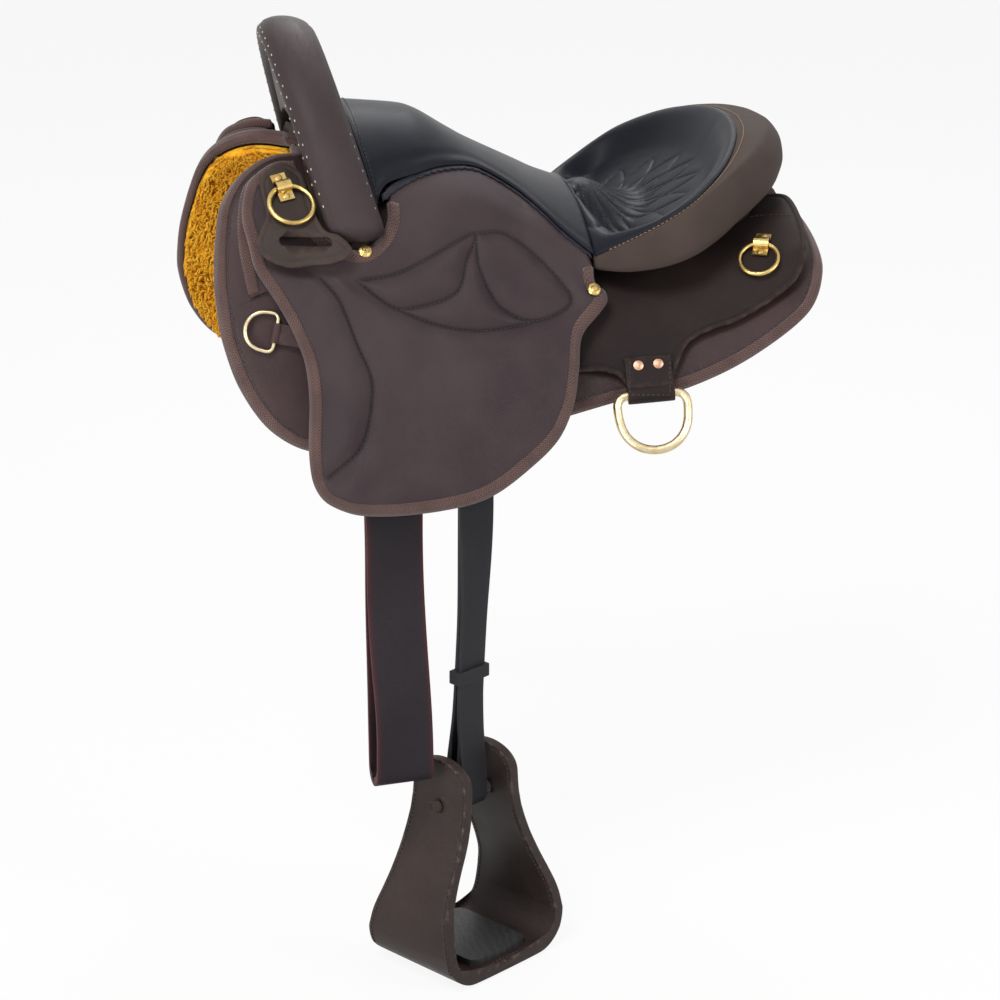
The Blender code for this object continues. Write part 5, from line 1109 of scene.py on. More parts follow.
# %% Flap outline
FLAP_UNDER, FLAP_UNDER_FRONT, FLAP_CROWN = 26 * MM, 15 * MM, 12.5 * MM
FLAP_EDGE_THICK, FLAP_TOP_THICK = 5 * MM, 7 * MM
TAPE_ROOM = 1.6 * MM            # the flap's leather stays inside its outline for the tape folded over its edge
HANG_X, HANGER_S, HANGER_REACH, HANGER_BULGE = -74.5 * MM, 94 * MM, 30 * MM, 6 * MM
FLAP_FRONT, FLAP_REAR = (-236, 170), (51, 139)
FLAP_LOWER_CUT = [(-236, 170), (-236, 170), (-224, 190), (-214, 210), (-206, 233), (-204, 264), (-207, 306),
                  (-205, 334), (-195, 349), (-173, 353), (-143, 344), (-101, 326), (-58, 302), (-23, 271),
                  (4, 242), (19, 212), (26, 184), (32, 158), (51, 139), (51, 139)]
FLAP_SHOULDER_CUT = [(-236, 170), (-236, 170), (-243, 156), (-247, 135), (-250, 118), (-248, 103), (-242, 90),
                     (-230, 80), (-216, 71), (-200, 67), (-200, 67), (-197, 80), (-194, 96), (-192, 108),
                     (-189, 121), (-178, 130), (-162, 132), (-148, 126), (-135, 113), (-127, 98), (-126, 84)]
FLAP_REAR_CUT = [(49, 104), (49, 104), (49.3, 117), (57, 123), (58, 131), (51, 139), (51, 139)]
edge_x = np.linspace(-160, 60, 221) * MM
edge = np.stack([edge_x, -seat_half_width(edge_x), seat_height(edge_x, 1.0) - SEAT_EDGE_THICK], 1)
edge_s, edge_lift = off_skin(edge)
under_x = np.linspace(-126, 49, 60) * MM
under_seat = np.stack([under_x, np.interp(under_x, edge_x, edge_s) - SEAT_LAP], 1)
lower, rear, shoulder = [rounded(points, 3 * MM, closed=False)
                         for points in (FLAP_LOWER_CUT, FLAP_REAR_CUT, FLAP_SHOULDER_CUT)]
flap_line = np.concatenate([lower[:-1], rear[:0:-1], under_seat[::-1], shoulder[-2:0:-1]])
flap_line = flap_line + inward(flap_line) * TAPE_ROOM
print('flap cut has', len(flap_line), 'points')

# %% Flap heights
KNEE_SEAM = [(-188, 161), (-175, 175), (-162, 208), (-152, 233), (-156, 267), (-166, 296), (-192, 327)]
FRONT_LEAF_SEAM = [(-159, 155), (-122, 138), (-85, 113), (-51, 91), (-62, 114), (-74, 140), (-107, 159),
                   (-129, 166), (-159, 155)]
REAR_LEAF_SEAM = [(-51, 91), (-24, 86), (4, 101), (26, 130), (-9, 149), (-38, 142), (-51, 118), (-51, 91)]
UNDER_ARC_SEAM = [(-129, 166), (-100, 169), (-60, 165), (-22, 154), (-9, 149)]
FLAP_CREASE = [(-95, 185), (-79, 225), (-58, 274)]
FLAP_SEAMS = (KNEE_SEAM, FRONT_LEAF_SEAM, REAR_LEAF_SEAM, UNDER_ARC_SEAM)
flap_seams = [rounded(points, 3 * MM, closed=False) for points in FLAP_SEAMS]
flap_crease = rounded(FLAP_CREASE, 4 * MM, closed=False)


def near_seat(x, s, length):
    """1 at the seat's lower edge, 0 from length below it on."""
    top_s = np.interp(x, edge_x, edge_s)
    return (1 - ease((s - top_s) / length)) * ease((x + 152 * MM) / (22 * MM))


def below_seat(x, s):
    """Highest lift that leaves room under the seat, found by a few rounds; 1 m where no seat lies above."""
    lift = np.full_like(x, 30 * MM)
    free = (x < -150 * MM) | (x > SEAM_X)
    _, _, slope = section(x, s)
    for _ in range(8):
        p = skin(x, s, lift)
        free |= -p[:, 1] > seat_half_width(x) + 0.5 * MM
        lift = lift + (seat_underside(x, p[:, 1]) - 1.8 * MM - p[:, 2]) / np.cos(slope)
        lift = np.clip(lift, -0.1, 0.3)
    return np.where(free, 1.0, lift)


def flap_bed(x):
    return lerp(FLAP_UNDER_FRONT, FLAP_UNDER, ease((x + 206 * MM) / (40 * MM)))


def flap_under(x, s):
    top_s, top_lift = np.interp(x, edge_x, edge_s), np.interp(x, edge_x, edge_lift)
    up = near_seat(x, s, np.maximum(120 * MM - top_s, 30 * MM))
    bulge = HANGER_BULGE * swell(x, HANG_X, 26 * MM) * swell(s, HANGER_S + HANGER_REACH, 24 * MM)
    base = flap_bed(x) + bulge
    under = lerp(base, np.maximum(top_lift - FLAP_TOP_THICK - 1 * MM, base), up)
    return np.minimum(under, below_seat(x, s) - FLAP_TOP_THICK)


def flap_over(x, s, edge):
    body = lerp(FLAP_EDGE_THICK, FLAP_CROWN, 1 - np.exp(-edge / (15 * MM)))
    places = np.stack([x, s], 1)
    seam = np.min([reach(places, line, closed=False) for line in flap_seams], axis=0)
    body = body - 2.2 * MM * np.exp(-seam / (1.5 * MM)) - 3.6 * MM * swell(seam, 0, 8 * MM)
    fold = reach(places, flap_crease, closed=False)
    body = body - 1.6 * MM * swell(fold, 0, 9 * MM)
    body = lerp(body, FLAP_TOP_THICK, near_seat(x, s, 34 * MM))
    under_plate = ease((-150 * MM - x) / (14 * MM)) * ease((166 * MM - s) / (12 * MM))
    body = lerp(body, FLAP_EDGE_THICK + 2 * MM, under_plate)
    return np.minimum(flap_under(x, s) + body, below_seat(x, s))


# %% Flap mesh
fine_seams = [rounded(points, 1.6 * MM, closed=False) for points in FLAP_SEAMS]
flap_cut = Cut(flap_line, flap_under, flap_over, 2.2 * MM, lines=fine_seams)
HINGE_LIFT, BEND_HALF, BEND_DEPTH = FLAP_UNDER + FLAP_CROWN + 1 * MM, 13 * MM, 12 * MM
hinge_a, hinge_b = [Vector(skin(x * MM, s * MM, HINGE_LIFT)) for x, s in (FLAP_FRONT, FLAP_REAR)]
hinge_middle = (hinge_a + hinge_b) / 2
hinge_s, _ = off_skin(np.array([hinge_middle]))
outward = Vector(skin(hinge_middle.x, hinge_s[0], 1.0) - skin(hinge_middle.x, hinge_s[0], 0.0))
bend_run = (hinge_b - hinge_a).cross(outward).normalized()
if bend_run.z > 0:
    bend_run.negate()


def bends(piece):
    """The piece follows the saddle above the flap's bend and the loose flap below it."""
    where = 'far' if '_far' in piece.name else 'near'
    mirror = Vector((1, -1 if where == 'far' else 1, 1))
    foot = hinge_middle - outward.normalized() * BEND_DEPTH
    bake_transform(piece, 'saddle', f'flap_{where}', start=tuple((foot - bend_run * BEND_HALF) * mirror),
             end=tuple((foot + bend_run * BEND_HALF) * mirror))


def bare(x, s):
    """Whether the flap's edge lies out of reach of the seat, and so is bound."""
    return not (-128 * MM < x < 49.5 * MM and s < np.interp(x, edge_x, edge_s) - 2.5 * MM)


verts, faces, uv, marks = flap_cut.mesh(2.8 * MM)
for side in SIDES:
    piece = finish_piece(f'flap_{side}_hide', verts, faces, brown, uv, marks, side == 'far')
    bends(piece)
    dress(piece, [f'flap_{side}', f'flap_top_{side}'], body=None)
print('flap', len(faces), 'faces')
for piece in bind('flap', flap_cut, None, bare):
    bends(piece)
for n, line in enumerate(flap_seams):
    for piece in sew(f'flap_seam_{n}', line, flap_cut, None, size=2.9 * MM, thick=0.5 * MM):
        bends(piece)

# %% [markdown]
# ## Where the seat meets the flap
# Under the seat's lower edge a thin strip of black leather peeps out, cut with a pinking punch into a row of
# scallops. In front, the seat's leather ends in a corded welt beside the pommel.

# %% Pinked strip
PINK_PITCH, PINK_DEEP = 6.4 * MM, 1.7 * MM
pink_x = np.arange(-129.5 * MM, 48 * MM, 0.8 * MM)
seat_s = np.interp(pink_x, edge_x, edge_s)
scallop = PINK_DEEP * np.abs(np.sin(math.pi * pink_x / PINK_PITCH)) ** 0.7
upper, lower = [np.stack([pink_x, s], 1) for s in (seat_s - 3 * MM, seat_s + 2.2 * MM + scallop)]
pink_line = np.concatenate([upper, lower[::-1]])


def pink_under(x, s):
    return flap_over(x, s, np.full_like(x, 20 * MM)) + 0.15 * MM


pink_cut = Cut(pink_line, pink_under, lambda x, s, edge: pink_under(x, s) + 1.3 * MM, 0.4 * MM, rows=(0.5, 1.1))
verts, faces, uv, marks = pink_cut.mesh(2 * MM)
for piece in twins('seat_pinking', SIDES, 'saddle', verts, faces, black, uv, marks):
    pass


# %% Welt
WELT_CORNERS = 10


def welt(name, places, radius):
    """Leather cord along places, its ends closed."""
    go = unit(np.gradient(places, axis=0))
    side = unit(np.cross(go, (0.0, 0.1, 1.0)))
    up = np.cross(side, go)
    angles = np.arange(WELT_CORNERS) * 2 * math.pi / WELT_CORNERS
    verts = np.stack([places + radius * (side * math.cos(a) + up * math.sin(a)) for a in angles], 1).reshape(-1, 3)
    faces = grid_faces(len(places), WELT_CORNERS) + end_caps(len(places), WELT_CORNERS)
    piece = finish_piece(name, verts, faces, black)
    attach(piece, 'saddle')


def across_seat(x, proud=0.0):
    """A line over the seat front from edge to edge."""
    turns = np.sin(np.linspace(-math.pi / 2, math.pi / 2, 90)) * 0.99
    z = seat_height(np.full_like(turns, x), turns)
    z -= seat_lip(x, seat_half_width(x) * (1 - np.abs(turns)))
    return np.stack([seat_x(np.full_like(turns, x), z), seat_half_width(x) * turns, z + proud], 1)


WELT_X = SEAT_LINE[0][0] * MM + 9 * MM
welt('seat_welt', across_seat(WELT_X, 0.4 * MM), 2.1 * MM)
beside = across_seat(WELT_X + 6 * MM)
stitches('seat_welt', beside, upward(beside), 'saddle', navy_thread, sides=MIDDLE)
print('pinked strip and welt')

# %% [markdown]
# ## Slotted plate
# A pear-shaped plate of thick leather with a long slot for a breast-collar strap. It lies on the flap at its
# top and stands proud below, so the slot's far edge casts a shadow.

# %% Slotted plate
PLATE_STAND = 11 * MM
PLATE_CUT = [(-210, 76), (-222, 81), (-232, 91), (-232, 105), (-230, 119), (-235, 128), (-240, 138), (-239, 146),
             (-230, 154), (-215, 158), (-197, 154), (-180, 150), (-166, 142), (-163, 135), (-172, 129),
             (-183, 127), (-188, 119), (-191, 107), (-194, 92), (-197, 82)]
PLATE_SLOT = ((-222, 139), (-179, 135), 6.5)


def plate_under(x, s):
    bed = flap_bed(x) + FLAP_EDGE_THICK + 2 * MM + 2 * GAP
    return bed + PLATE_STAND * ease((s - 100 * MM) / (45 * MM))


def slot_line():
    """Outline of the slot, round at both ends."""
    (ax, a_s), (bx, b_s), height = PLATE_SLOT
    a, b, r = np.array((ax, a_s)) * MM, np.array((bx, b_s)) * MM, height / 2 * MM
    go = (b - a) / np.linalg.norm(b - a)
    side = np.array((-go[1], go[0]))
    a, b = a + go * r, b - go * r
    turns = np.linspace(-math.pi / 2, math.pi / 2, 9)
    ends = [b + r * (go * math.cos(t) + side * math.sin(t)) for t in turns]
    ends += [a - r * (go * math.cos(t) + side * math.sin(t)) for t in turns]
    return np.array(ends)


plate_line = rounded(PLATE_CUT, 2 * MM)
PLATE_ROWS = (0.3, 0.7, 1.3, 2.4, 3.4, 3.95, 4.5, 5.05, 5.8)


def plate_over(x, s, edge):
    outer_edge = reach(np.stack([x, s], 1), plate_line)
    crease = 0.5 * MM * swell(outer_edge, 4.5 * MM, 0.7 * MM)
    return plate_under(x, s) + LEATHER - crease


plate_cut = Cut(plate_line, plate_under, plate_over, 1.3 * MM, [slot_line()], rows=PLATE_ROWS)
lay('slot_plate', plate_cut, 3.4 * MM, plate_brown)

# %% [markdown]
# ## Cantle and pommel
# The cantle's back is a nappy hide pulled over a rounded block and sewn to the seat along the rim. The pommel
# is a fat roll of smooth leather, open underneath, closed towards the horse's head by a stitched facing.

# %% Cantle
CANTLE_BELLY, CANTLE_FOOT, CANTLE_HEIGHT, CANTLE_TIP_HEIGHT = 45.8 * MM, 19 * MM, 58 * MM, 14 * MM
CANTLE_HEART_X, TIP_SHARE = 105 * MM, 0.3


def cantle_row(out_share, down_share):
    """A row of places round the rim, some way out from it and some way down the cantle."""
    belly = lerp(2 * MM, CANTLE_BELLY, turn ** 3.5)
    foot = lerp(0, CANTLE_FOOT, turn ** 3)
    height = lerp(CANTLE_TIP_HEIGHT, CANTLE_HEIGHT, 1 - (1 - turn) ** 2.2)
    out = lerp(foot * down_share, belly, out_share)
    radial = unit(RIM - (CANTLE_HEART_X, 0))
    tips = turn < TIP_SHARE
    radial[tips, 0] = np.maximum(radial[tips, 0], 0) * turn[tips] / TIP_SHARE
    radial = unit(radial)
    top = SEAT_EDGE_THICK + GAP
    return np.stack([RIM[:, 0] + GAP / 2 + radial[:, 0] * out, RIM[:, 1] + radial[:, 1] * out,
                     rim_plane(RIM[:, 0]) - top - (height - top) * down_share], 1)


# the wall's profile is a smooth curve through the solid's own rows
WALL = np.array([(0.0, 0.0, 0.0), (0.33, 0.68, 0.0), (0.5, 0.93, 0.22), (0.68, 1.0, 0.55), (0.86, 0.8, 0.86),
                 (1.0, 0.0, 1.0)])      # share of the way down the wall, out_share and down_share there
WALL_ROWS, WALL_SMOOTHINGS = 44, 5
profile = np.stack([np.interp(np.linspace(0, 1, WALL_ROWS), WALL[:, 0], WALL[:, k]) for k in (1, 2)], 1)
for _ in range(WALL_SMOOTHINGS):
    profile[1:-1] = (profile[:-2] + 2 * profile[1:-1] + profile[2:]) / 4
walls = [cantle_row(out_share, down_share) for out_share, down_share in profile]
solid = solid_tree(frame['nodes']['cantle'])
tops, lows = [], []
RINGS_IN = np.linspace(0.985, 0.02, 26)          # from the rim in to the middle, as shares
for r in RINGS_IN:
    x, y = lerp(SEAM_X + GAP / 2, RIM[:, 0] + GAP / 2, r), RIM[:, 1] * r
    thick = lerp(SEAT_EDGE_THICK, DISH_THICK, ease((1 - r) / 0.3))
    tops.append(np.stack([x, y, dish_height(r, turn, x) - thick - 2 * GAP], 1))
for r in RINGS_IN:
    foot = walls[-1]
    x, y = lerp(SEAM_X + GAP / 2, foot[:, 0], r), foot[:, 1] * r
    row = []
    for px, py, pz in zip(x, y, foot[:, 2]):
        found = solid.ray_cast(Vector((max(px, SEAM_X + 1 * MM), py, -0.1)), Vector((0, 0, 1)))
        row.append((px, py, found[0].z if found[0] else pz))
    lows.append(np.array(row))
rows = tops[::-1] + walls + lows
verts = np.concatenate(rows)
faces = grid_faces(len(rows), count, closed_columns=False)
faces += [tuple(i * count + k for i in range(len(rows))) for k in (0, count - 1)]
faces += end_caps(len(rows), count)
cantle = finish_piece('cantle_hide', verts, faces, nappy)
dress(cantle, ['cantle'])
ridge = cantle_row(0.16, 0.0)
line = ridge[4:-4] + (0, 0, 0.6 * MM)
stitches('rim', line, upward(line), 'saddle', tan_thread, sides=MIDDLE)


# %% Pommel roll
ROLL_STEPS, ROLL_CORNERS, FOOT_LENGTH = 120, 56, 13 * MM
ROLL_SEAMS, SEAM_REACH, SEAM_PULL = (141, 22), 5, 0.035        # degrees round the roll, and a share of its radius


def arch_station():
    """Stations along the arch, evenly spaced: signed half-width and height."""
    widest = math.sqrt(POMMEL_SPREAD * (POMMEL_TOP - POMMEL_FOOT))
    w = np.linspace(-widest, widest, 801)
    z = POMMEL_TOP - w * w / POMMEL_SPREAD
    run = np.concatenate([[0], np.cumsum(np.hypot(np.diff(w), np.diff(z)))])
    goal = np.linspace(0, run[-1], ROLL_STEPS + 1)
    return np.interp(goal, run, w), np.interp(goal, run, z)


def arch_rings(grow_out, grow_in, half_depth, power=2.6):
    """Rounded sections along the arch, and the angle of each of their corners."""
    w, z = arch_station()
    run = unit(np.stack([np.gradient(w), np.gradient(z)], 1))
    out = np.stack([-run[:, 1], run[:, 0]], 1)
    angle = 2 * math.pi * (np.arange(ROLL_CORNERS) + 0.5) / ROLL_CORNERS
    c, s = np.cos(angle), np.sin(angle)
    across = np.copysign(np.abs(s) ** (2 / power), s)
    depth = np.copysign(np.abs(c) ** (2 / power), c) * half_depth
    reach_out = lerp(-grow_in, grow_out, (across + 1) / 2)
    width = w[:, None] + out[:, :1] * reach_out
    height = z[:, None] + out[:, 1:] * reach_out
    x = POMMEL_X + (POMMEL_TOP - height) * POMMEL_LEAN + depth
    return np.stack([x, width, height], 2), angle


outer, angle = arch_rings(ROLL_OUT, ROLL_IN, ROLL_DEPTH / 2, power=2.0)
bore, _ = arch_rings(ROLL_OUT - ROLL_WALL, ROLL_IN - ROLL_WALL * 0.6, ROLL_DEPTH / 2 - ROLL_WALL)
# seams at the front and rear edges of the roll pull the leather in a little
middle = outer.mean(1, keepdims=True)
pull = 1 - SEAM_PULL * sum(swell(np.degrees(angle), at, SEAM_REACH) for at in ROLL_SEAMS)
outer = middle + (outer - middle) * pull[None, :, None]


def domed(end, inward_by_one):
    """Rings that close the foot of the roll in a soft dome, from its last ring to the dome's tip."""
    heart = end.mean(0)
    go = heart - inward_by_one.mean(0)
    go /= np.linalg.norm(go)
    turns = np.radians([14, 28, 42, 55, 67, 77, 85])
    return np.stack([heart + (end - heart) * max(math.cos(t), 0.03) + go * FOOT_LENGTH * math.sin(t) for t in turns])


rings = np.concatenate([domed(outer[0], outer[1])[::-1], outer, domed(outer[-1], outer[-2]), bore[::-1]])
verts = rings.reshape(-1, 3)
faces = grid_faces(len(rings), ROLL_CORNERS, closed_rows=True)
roll = finish_piece('pommel_roll_hide', verts, faces, roll_brown)
dress(roll, ['pommel_roll'])


def roll_row(name, degrees, first, last, **sizes):
    """Stitches along the roll at an angle round it, 0 to the tail and 90 outward."""
    k = int(round(degrees / 360 * ROLL_CORNERS - 0.5)) % ROLL_CORNERS
    line = outer[first:last, k]
    stitches(name, line, unit(line - middle[first:last, 0]), 'saddle', pale_thread, sides=MIDDLE, **sizes)


for name, degrees, first, last, pitch, size, thick in (
        ('roll_front', 148, 4, -4, 11, 2.2, 0.5), ('roll_inner', 176, 10, -10, 12, 2.2, 0.5),
        ('roll_rear_26', 20, 3, 26, 11, 2.0, 0.4), ('roll_rear_-3', 20, -26, -3, 11, 2.0, 0.4)):
    roll_row(name, degrees, first, last, pitch=pitch * MM, size=size * MM, thick=thick * MM)
print('pommel roll', len(faces), 'faces')


# %% [markdown]
# ## Straps, tabs and metalwork
# Small pieces keep the shape of their solids. A bevel and some subdivision round the cut edges of the leather,
# rings and dees get rounder wire, and every metal its own tarnish.

# %% Rounded copies of leather solids
WORN_STEP, MOST_STEPS, SAME_PLACE = 1.5 * MM, 38, 1e-6


def rounded_copy(node, finish, bevel, levels=1, wear=0.6, angle=32):
    """A solid's own shape, bevelled along its edges, subdivided, with worn edges marked; no bevel for wire."""
    source = frame['nodes'][node]
    piece = bpy.data.objects.new(node + '_hide', source.data.copy())
    piece.matrix_world = source.matrix_world
    scene.collection.objects.link(piece)
    piece.data.materials.clear()
    piece.data.materials.append(finish)
    bm = bmesh.new()
    bm.from_mesh(piece.data)
    bmesh.ops.remove_doubles(bm, verts=bm.verts, dist=SAME_PLACE)
    if bevel:
        bmesh.ops.dissolve_limit(bm, angle_limit=math.radians(1), verts=bm.verts, edges=bm.edges)
    lines = [(e.verts[0].co.copy(), e.verts[1].co.copy()) for e in bm.edges
             if bevel and len(e.link_faces) == 2 and e.calc_face_angle() > math.radians(angle)]
    bm.to_mesh(piece.data)
    bm.free()
    if bevel:
        edge = piece.modifiers.new('edge', 'BEVEL')
        edge.width = bevel
        edge.segments = 2
        edge.angle_limit = math.radians(angle)
    if levels:
        soft = piece.modifiers.new('soft', 'SUBSURF')
        soft.levels = soft.render_levels = levels
    bpy.context.view_layer.update()
    made = bpy.data.meshes.new_from_object(piece.evaluated_get(bpy.context.evaluated_depsgraph_get()))
    piece.modifiers.clear()
    piece.data = made
    made.shade_smooth()
    edges = KDTree(len(lines) * (MOST_STEPS + 2))
    for a, b in lines:
        steps = max(1, min(MOST_STEPS, int((b - a).length / WORN_STEP)))
        for k in range(steps + 1):
            edges.insert(a.lerp(b, k / steps), 0)
    edges.balance()
    worn = [math.exp(-(edges.find(v.co)[2] or 0) / (1.3 * MM)) * wear if lines else 0.0 for v in made.vertices]
    made.attributes.new('worn', 'FLOAT', 'POINT').data.foreach_set('value', worn)
    dress(piece, [node], body=body_of(node))


# the dee tabs take the darker leather of painted shade
for side in SIDES:
    rounded_copy(f'dee_tab_{side}', rig_shade_brown, 0.7 * MM)
    rounded_copy(f'panel_tab_{side}', panel_brown, 0.5 * MM)
    rounded_copy(f'girth_rigging_{side}', brown, 0.6 * MM, 0)
rounded_copy('pommel_facing', roll_brown, 1.5 * MM)
rounded_copy('girth_strap_near', strap, 0.5 * MM, 2, wear=1.0)
rounded_copy('stirrup_leather_near', black_strap, 0.7 * MM, 2)
rounded_copy('keeper_near', black_strap, 0.7 * MM, 2)
rounded_copy('stirrup_near', cover, 1.6 * MM, 2, wear=0.5, angle=40)

# %% Stitches inside the edges of a solid
def edge_rows(node, inset, least=40 * MM):
    """Lines beside the sharp edges of a solid's broad faces, as places and outward directions."""
    bm = bmesh.new()
    bm.from_mesh(frame['nodes'][node].data)
    bmesh.ops.remove_doubles(bm, verts=bm.verts, dist=SAME_PLACE)
    bmesh.ops.dissolve_limit(bm, angle_limit=math.radians(1), verts=bm.verts, edges=bm.edges)
    rows, used = [], set()

    def broad(edge):
        return max(edge.link_faces, key=lambda face: face.calc_area())

    def sharp(edge):
        return len(edge.link_faces) == 2 and edge.calc_face_angle() > math.radians(50)

    def beside(edge, vert):
        face = broad(edge)
        run = (edge.verts[1].co - edge.verts[0].co).normalized()
        side = face.normal.cross(run)
        if side.dot(face.calc_center_median() - vert.co) < 0:
            side.negate()
        return vert.co + side * inset, face.normal.copy()

    for first in bm.edges:
        if first.index in used or not sharp(first):
            continue
        chain, edge, vert = [], first, first.verts[0]
        while edge is not None:
            used.add(edge.index)
            chain.append(beside(edge, vert))
            other = edge.other_vert(vert)
            nexts = [e for e in other.link_edges if e.index not in used and sharp(e)
                     and broad(e).normal.dot(broad(edge).normal) > 0.8
                     and (e.other_vert(other).co - other.co).normalized().dot((other.co - vert.co).normalized()) > 0.5]
            if not nexts:
                chain.append(beside(edge, other))
            edge, vert = (nexts[0], other) if nexts else (None, None)
        places = np.array([tuple(place) for place, _ in chain])
        if np.linalg.norm(np.diff(places, axis=0), axis=1).sum() > least:
            rows.append((places, np.array([tuple(out) for _, out in chain])))
    bm.free()
    return rows


rows = edge_rows('stirrup_near', 3.2 * MM)
for n, (places, out) in enumerate(rows):
    stitches(f'stirrup_near_{n}', places + out * 0.1 * MM, out, body_of('stirrup_near'), dark_thread, thick=0.6 * MM,
             sides=MIDDLE)
print(len(rows), 'rows of stitches on the stirrup')


# %% Features placed by sight
def seen_on(name, *pixels):
    """Places and outward directions where lines of sight first meet a piece or node."""
    tree = solid_tree(frame['nodes'].get(name) or bpy.data.objects[name])
    found = [tree.ray_cast(camera.location, sight(*pixel)) for pixel in pixels]
    return [(place, normal if normal.dot(toward_camera) > 0 else -normal) for place, normal, _, _ in found if place]


def seam_by_sight(name, carrier, pixels):
    """A stitched line through places in the picture, the same on both sides of the saddle."""
    finer = rounded([(x / MM, y / MM) for x, y in pixels], 3.0, closed=False)
    found = seen_on(carrier, *[tuple(p) for p in finer])
    places = np.array([tuple(place) for place, _ in found])
    stitches(name, places, np.array([tuple(normal) for _, normal in found]), 'saddle', dark_thread,
             thick=0.5 * MM)


seam_by_sight('panel_patch', 'panel_near_hide', [(228, 307), (246, 303), (268, 292)])
for n, pixels in enumerate(([(630, 361), (630, 380), (630, 393)], [(670, 361), (670, 380), (670, 393)],
                            [(631, 395), (650, 395), (669, 395)])):
    seam_by_sight(f'tab_seam_{n}', 'dee_tab_near_hide', pixels)
seam_by_sight('skirt_seam', 'rigging_skirt_near_hide', [(749, 217), (770, 215), (792, 215)])

# %% Painted shade for the cross recesses in the screw heads
def cross(name, place, normal, ride_on, size=3.4 * MM, wide=0.75 * MM):
    """Two dark bars of painted shade that read as a cross-shaped recess, sunk in a screw's head."""
    normal = Vector(normal).normalized()
    side = normal.cross(Vector((0.3, 0, 1))).normalized()
    up = normal.cross(side)
    for where, mirror in zip(SIDES, (1, -1)):
        verts, faces = [], []
        for a, b in ((side, up), (up, side)):
            for lift in (-0.5, 0.06):
                for i, j in ((-1, -1), (1, -1), (1, 1), (-1, 1)):
                    v = Vector(place) + a * (i * size / 2) + b * (j * wide / 2) + normal * (lift * MM)
                    verts.append((v.x, v.y * mirror, v.z))
            k = len(verts) - 8
            faces += [(k, k + 1, k + 2, k + 3), (k + 4, k + 5, k + 6, k + 7)]
            faces += [(k + i, k + (i + 1) % 4, k + 4 + (i + 1) % 4, k + 4 + i) for i in range(4)]
        # the dark tread rubber serves as the recess's painted shade
        piece = finish_piece(f'{name}_cross_{where}', verts, faces, rubber)
        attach(piece, ride_on)


for name in ('front_screw', 'rear_screw'):
    solid_verts = np.array([tuple(v.co) for v in frame['nodes'][name + '_near'].data.vertices])
    heart = solid_verts.mean(0)
    s_place, _ = off_skin(heart[None])
    out = skin(heart[0], s_place[0], 1.0) - skin(heart[0], s_place[0], 0.0)
    reach_out = (solid_verts - heart) @ out
    head = solid_verts[reach_out > reach_out.max() - 0.4 * MM].mean(0)
    cross(name, head, out, body_of(name + '_near'))
for name, node, pixel in (('front_clip_upper', 'front_clip_near', (282, 180)),
                          ('front_clip_lower', 'front_clip_near', (289, 202)),
                          ('rear_clip', 'rear_clip_near', (757, 257))):
    for place, normal in seen_on(node, pixel):
        cross(name, place, normal, 'saddle', 2.8 * MM, 0.6 * MM)
print('crosses cut')

# %% Metal, wood and rubber keep their solids
FINISH_OF = {'brass': brass, 'pale': pale_brass, 'copper': copper, 'steel': steel, 'wood': wood, 'rubber': rubber,
             'hide': roll_brown, 'cover': cover}
CARRIED = {'front_ring': 'brass', 'rear_ring': 'brass', 'front_clip': 'brass', 'rear_clip': 'brass',
           'rear_dee': 'pale', 'panel_dee': 'pale', 'girth_dee': 'brass', 'front_screw': 'brass',
           'rear_screw': 'brass', 'front_rivet': 'copper', 'rear_rivet': 'copper', 'hanger': 'steel',
           'stirrup_bolt': 'cover', 'stirrup_roller': 'steel', 'tree_bar': 'wood', 'tree_fork': 'hide',
           'ground_seat': 'wood', 'tread': 'rubber'}
ROUNDER = ('front_ring', 'rear_ring', 'rear_dee', 'panel_dee', 'girth_dee')
for name, node in list(frame['nodes'].items()):
    stem = name.replace('_near', '').replace('_far', '')
    if stem in CARRIED:
        node.data.materials.clear()
        node.data.materials.append(FINISH_OF[CARRIED[stem]])
        if stem in ROUNDER:
            rounded_copy(name, FINISH_OF[CARRIED[stem]], 0, 2)
print('carried over:', len(CARRIED), 'kinds of node')

# %% [markdown]
# ## Studio
# A plain pale floor and four soft round lamps: the key light high over the saddle's head, a low one in front of
# it, a fill towards its tail and one behind. The white sky gives little light, but it is all that the camera, gloss
# and glass see of it.

# %% Floor, lights and background
FLOOR_HALF, FLOOR_Z = 9.0, cad_box[0][2] - 2 * MM
FLOOR_GLOW, SKY_LIGHT = 0.9, 0.24       # share of glow in the floor that is looked at; strength of the sky's light
floor_mesh = bpy.data.meshes.new('floor')
floor_mesh.from_pydata([(x * FLOOR_HALF, y * FLOOR_HALF, FLOOR_Z) for x, y in ((-1, -1), (1, -1), (1, 1), (-1, 1))], [],
                       [(0, 1, 2, 3)])
floor = bpy.data.objects.new('floor', floor_mesh)
scene.collection.objects.link(floor)


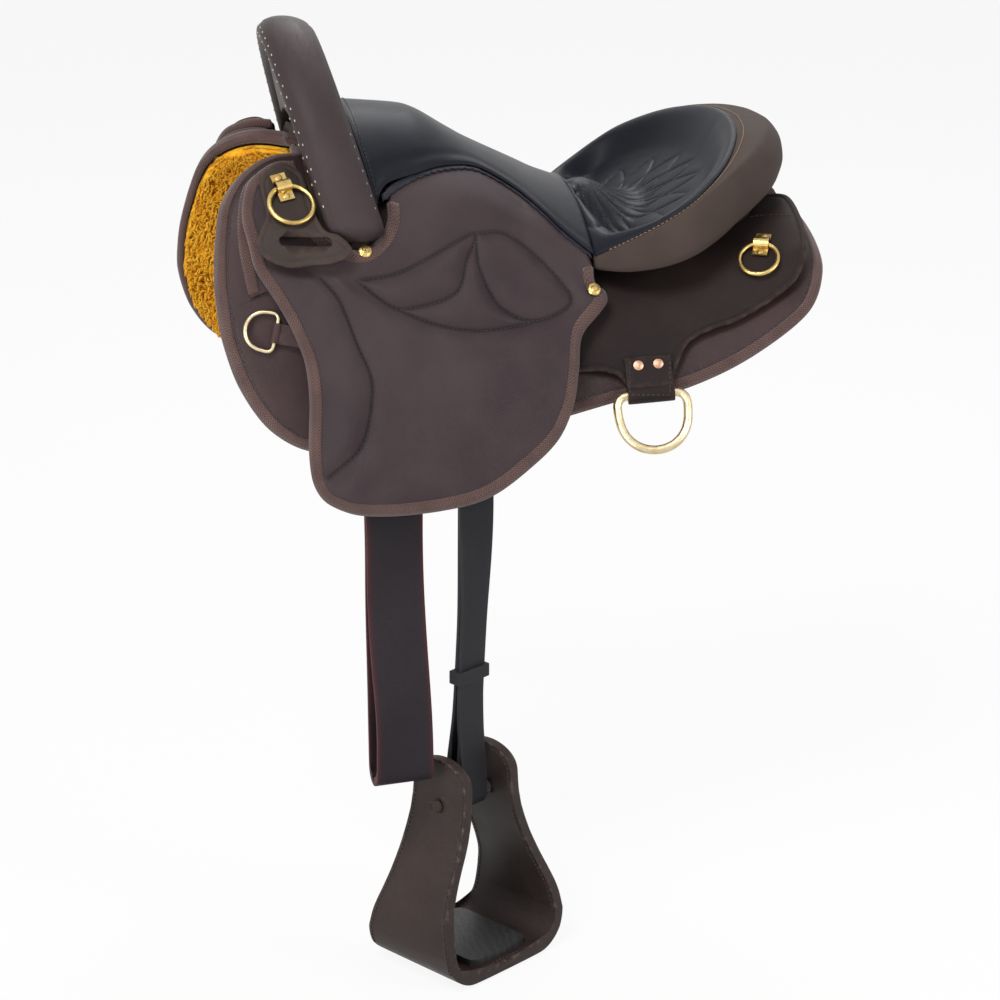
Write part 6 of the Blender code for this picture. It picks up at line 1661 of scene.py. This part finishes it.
def looked_at(tree):
    """1 for rays from the camera and those that a gloss or glass sends on, 0 for all others."""
    rays = tree.nodes.new('ShaderNodeLightPath')
    seen = rays.outputs['Is Camera Ray']
    for kind in ('Is Glossy Ray', 'Is Transmission Ray'):
        either = tree.nodes.new('ShaderNodeMath')
        either.operation = 'MAXIMUM'
        tree.links.new(seen, either.inputs[0])
        tree.links.new(rays.outputs[kind], either.inputs[1])
        seen = either.outputs[0]
    return seen


def pale_floor():
    """Paper that takes shadows, and shows nearly white to rays that look at it."""
    f = Finish('floor_paper', Roughness=0.9)
    cloud = f.texture('Noise', 2.0, Detail=3.0)
    f.join(f.mix(cloud.outputs['Fac'], (0.78, 0.78, 0.78), (0.82, 0.82, 0.82)), f.shader.inputs['Base Color'])
    glow = f.add('Emission')
    glow.inputs['Strength'].default_value = 1.0
    blend = f.add('MixShader')
    f.join(f.math('MULTIPLY', looked_at(f.tree), FLOOR_GLOW), blend.inputs[0])
    f.join(f.shader.outputs[0], blend.inputs[1])
    f.join(glow.outputs[0], blend.inputs[2])
    f.join(blend.outputs[0], f.tree.nodes['Material Output'].inputs['Surface'])
    return f.material


floor_mesh.materials.append(pale_floor())


def lamp(name, place, size, power, aim=(0, 0, -0.1)):
    light = bpy.data.lights.new(name, 'AREA')
    light.shape = 'DISK'
    light.size = size
    light.energy = power
    holder = bpy.data.objects.new(name, light)
    holder.location = place
    holder.rotation_euler = (Vector(place) - Vector(aim)).to_track_quat('Z', 'Y').to_euler()
    scene.collection.objects.link(holder)


lamp('key', (-1.1, -1.5, 2.3), 1.1, 52)
lamp('low', (-1.9, -1.6, 0.1), 1.3, 27, (-0.15, 0, -0.05))
lamp('fill', (1.6, -1.7, 0.8), 1.2, 24)
lamp('back', (0.5, 1.6, 1.9), 1.0, 30)
world = bpy.data.worlds.new('studio')
world.use_nodes = True
scene.world = world
tree = world.node_tree
sky, level = tree.nodes['Background'], tree.nodes.new('ShaderNodeMapRange')
level.inputs['To Min'].default_value = SKY_LIGHT
level.inputs['To Max'].default_value = 1.0
tree.links.new(looked_at(tree), level.inputs['Value'])
tree.links.new(level.outputs['Result'], sky.inputs['Strength'])
sky.inputs['Color'].default_value = (1, 1, 1, 1)
scene.view_settings.view_transform = 'Standard'

# %% Sizes
bpy.context.view_layer.update()
print('cad box', cad_box)
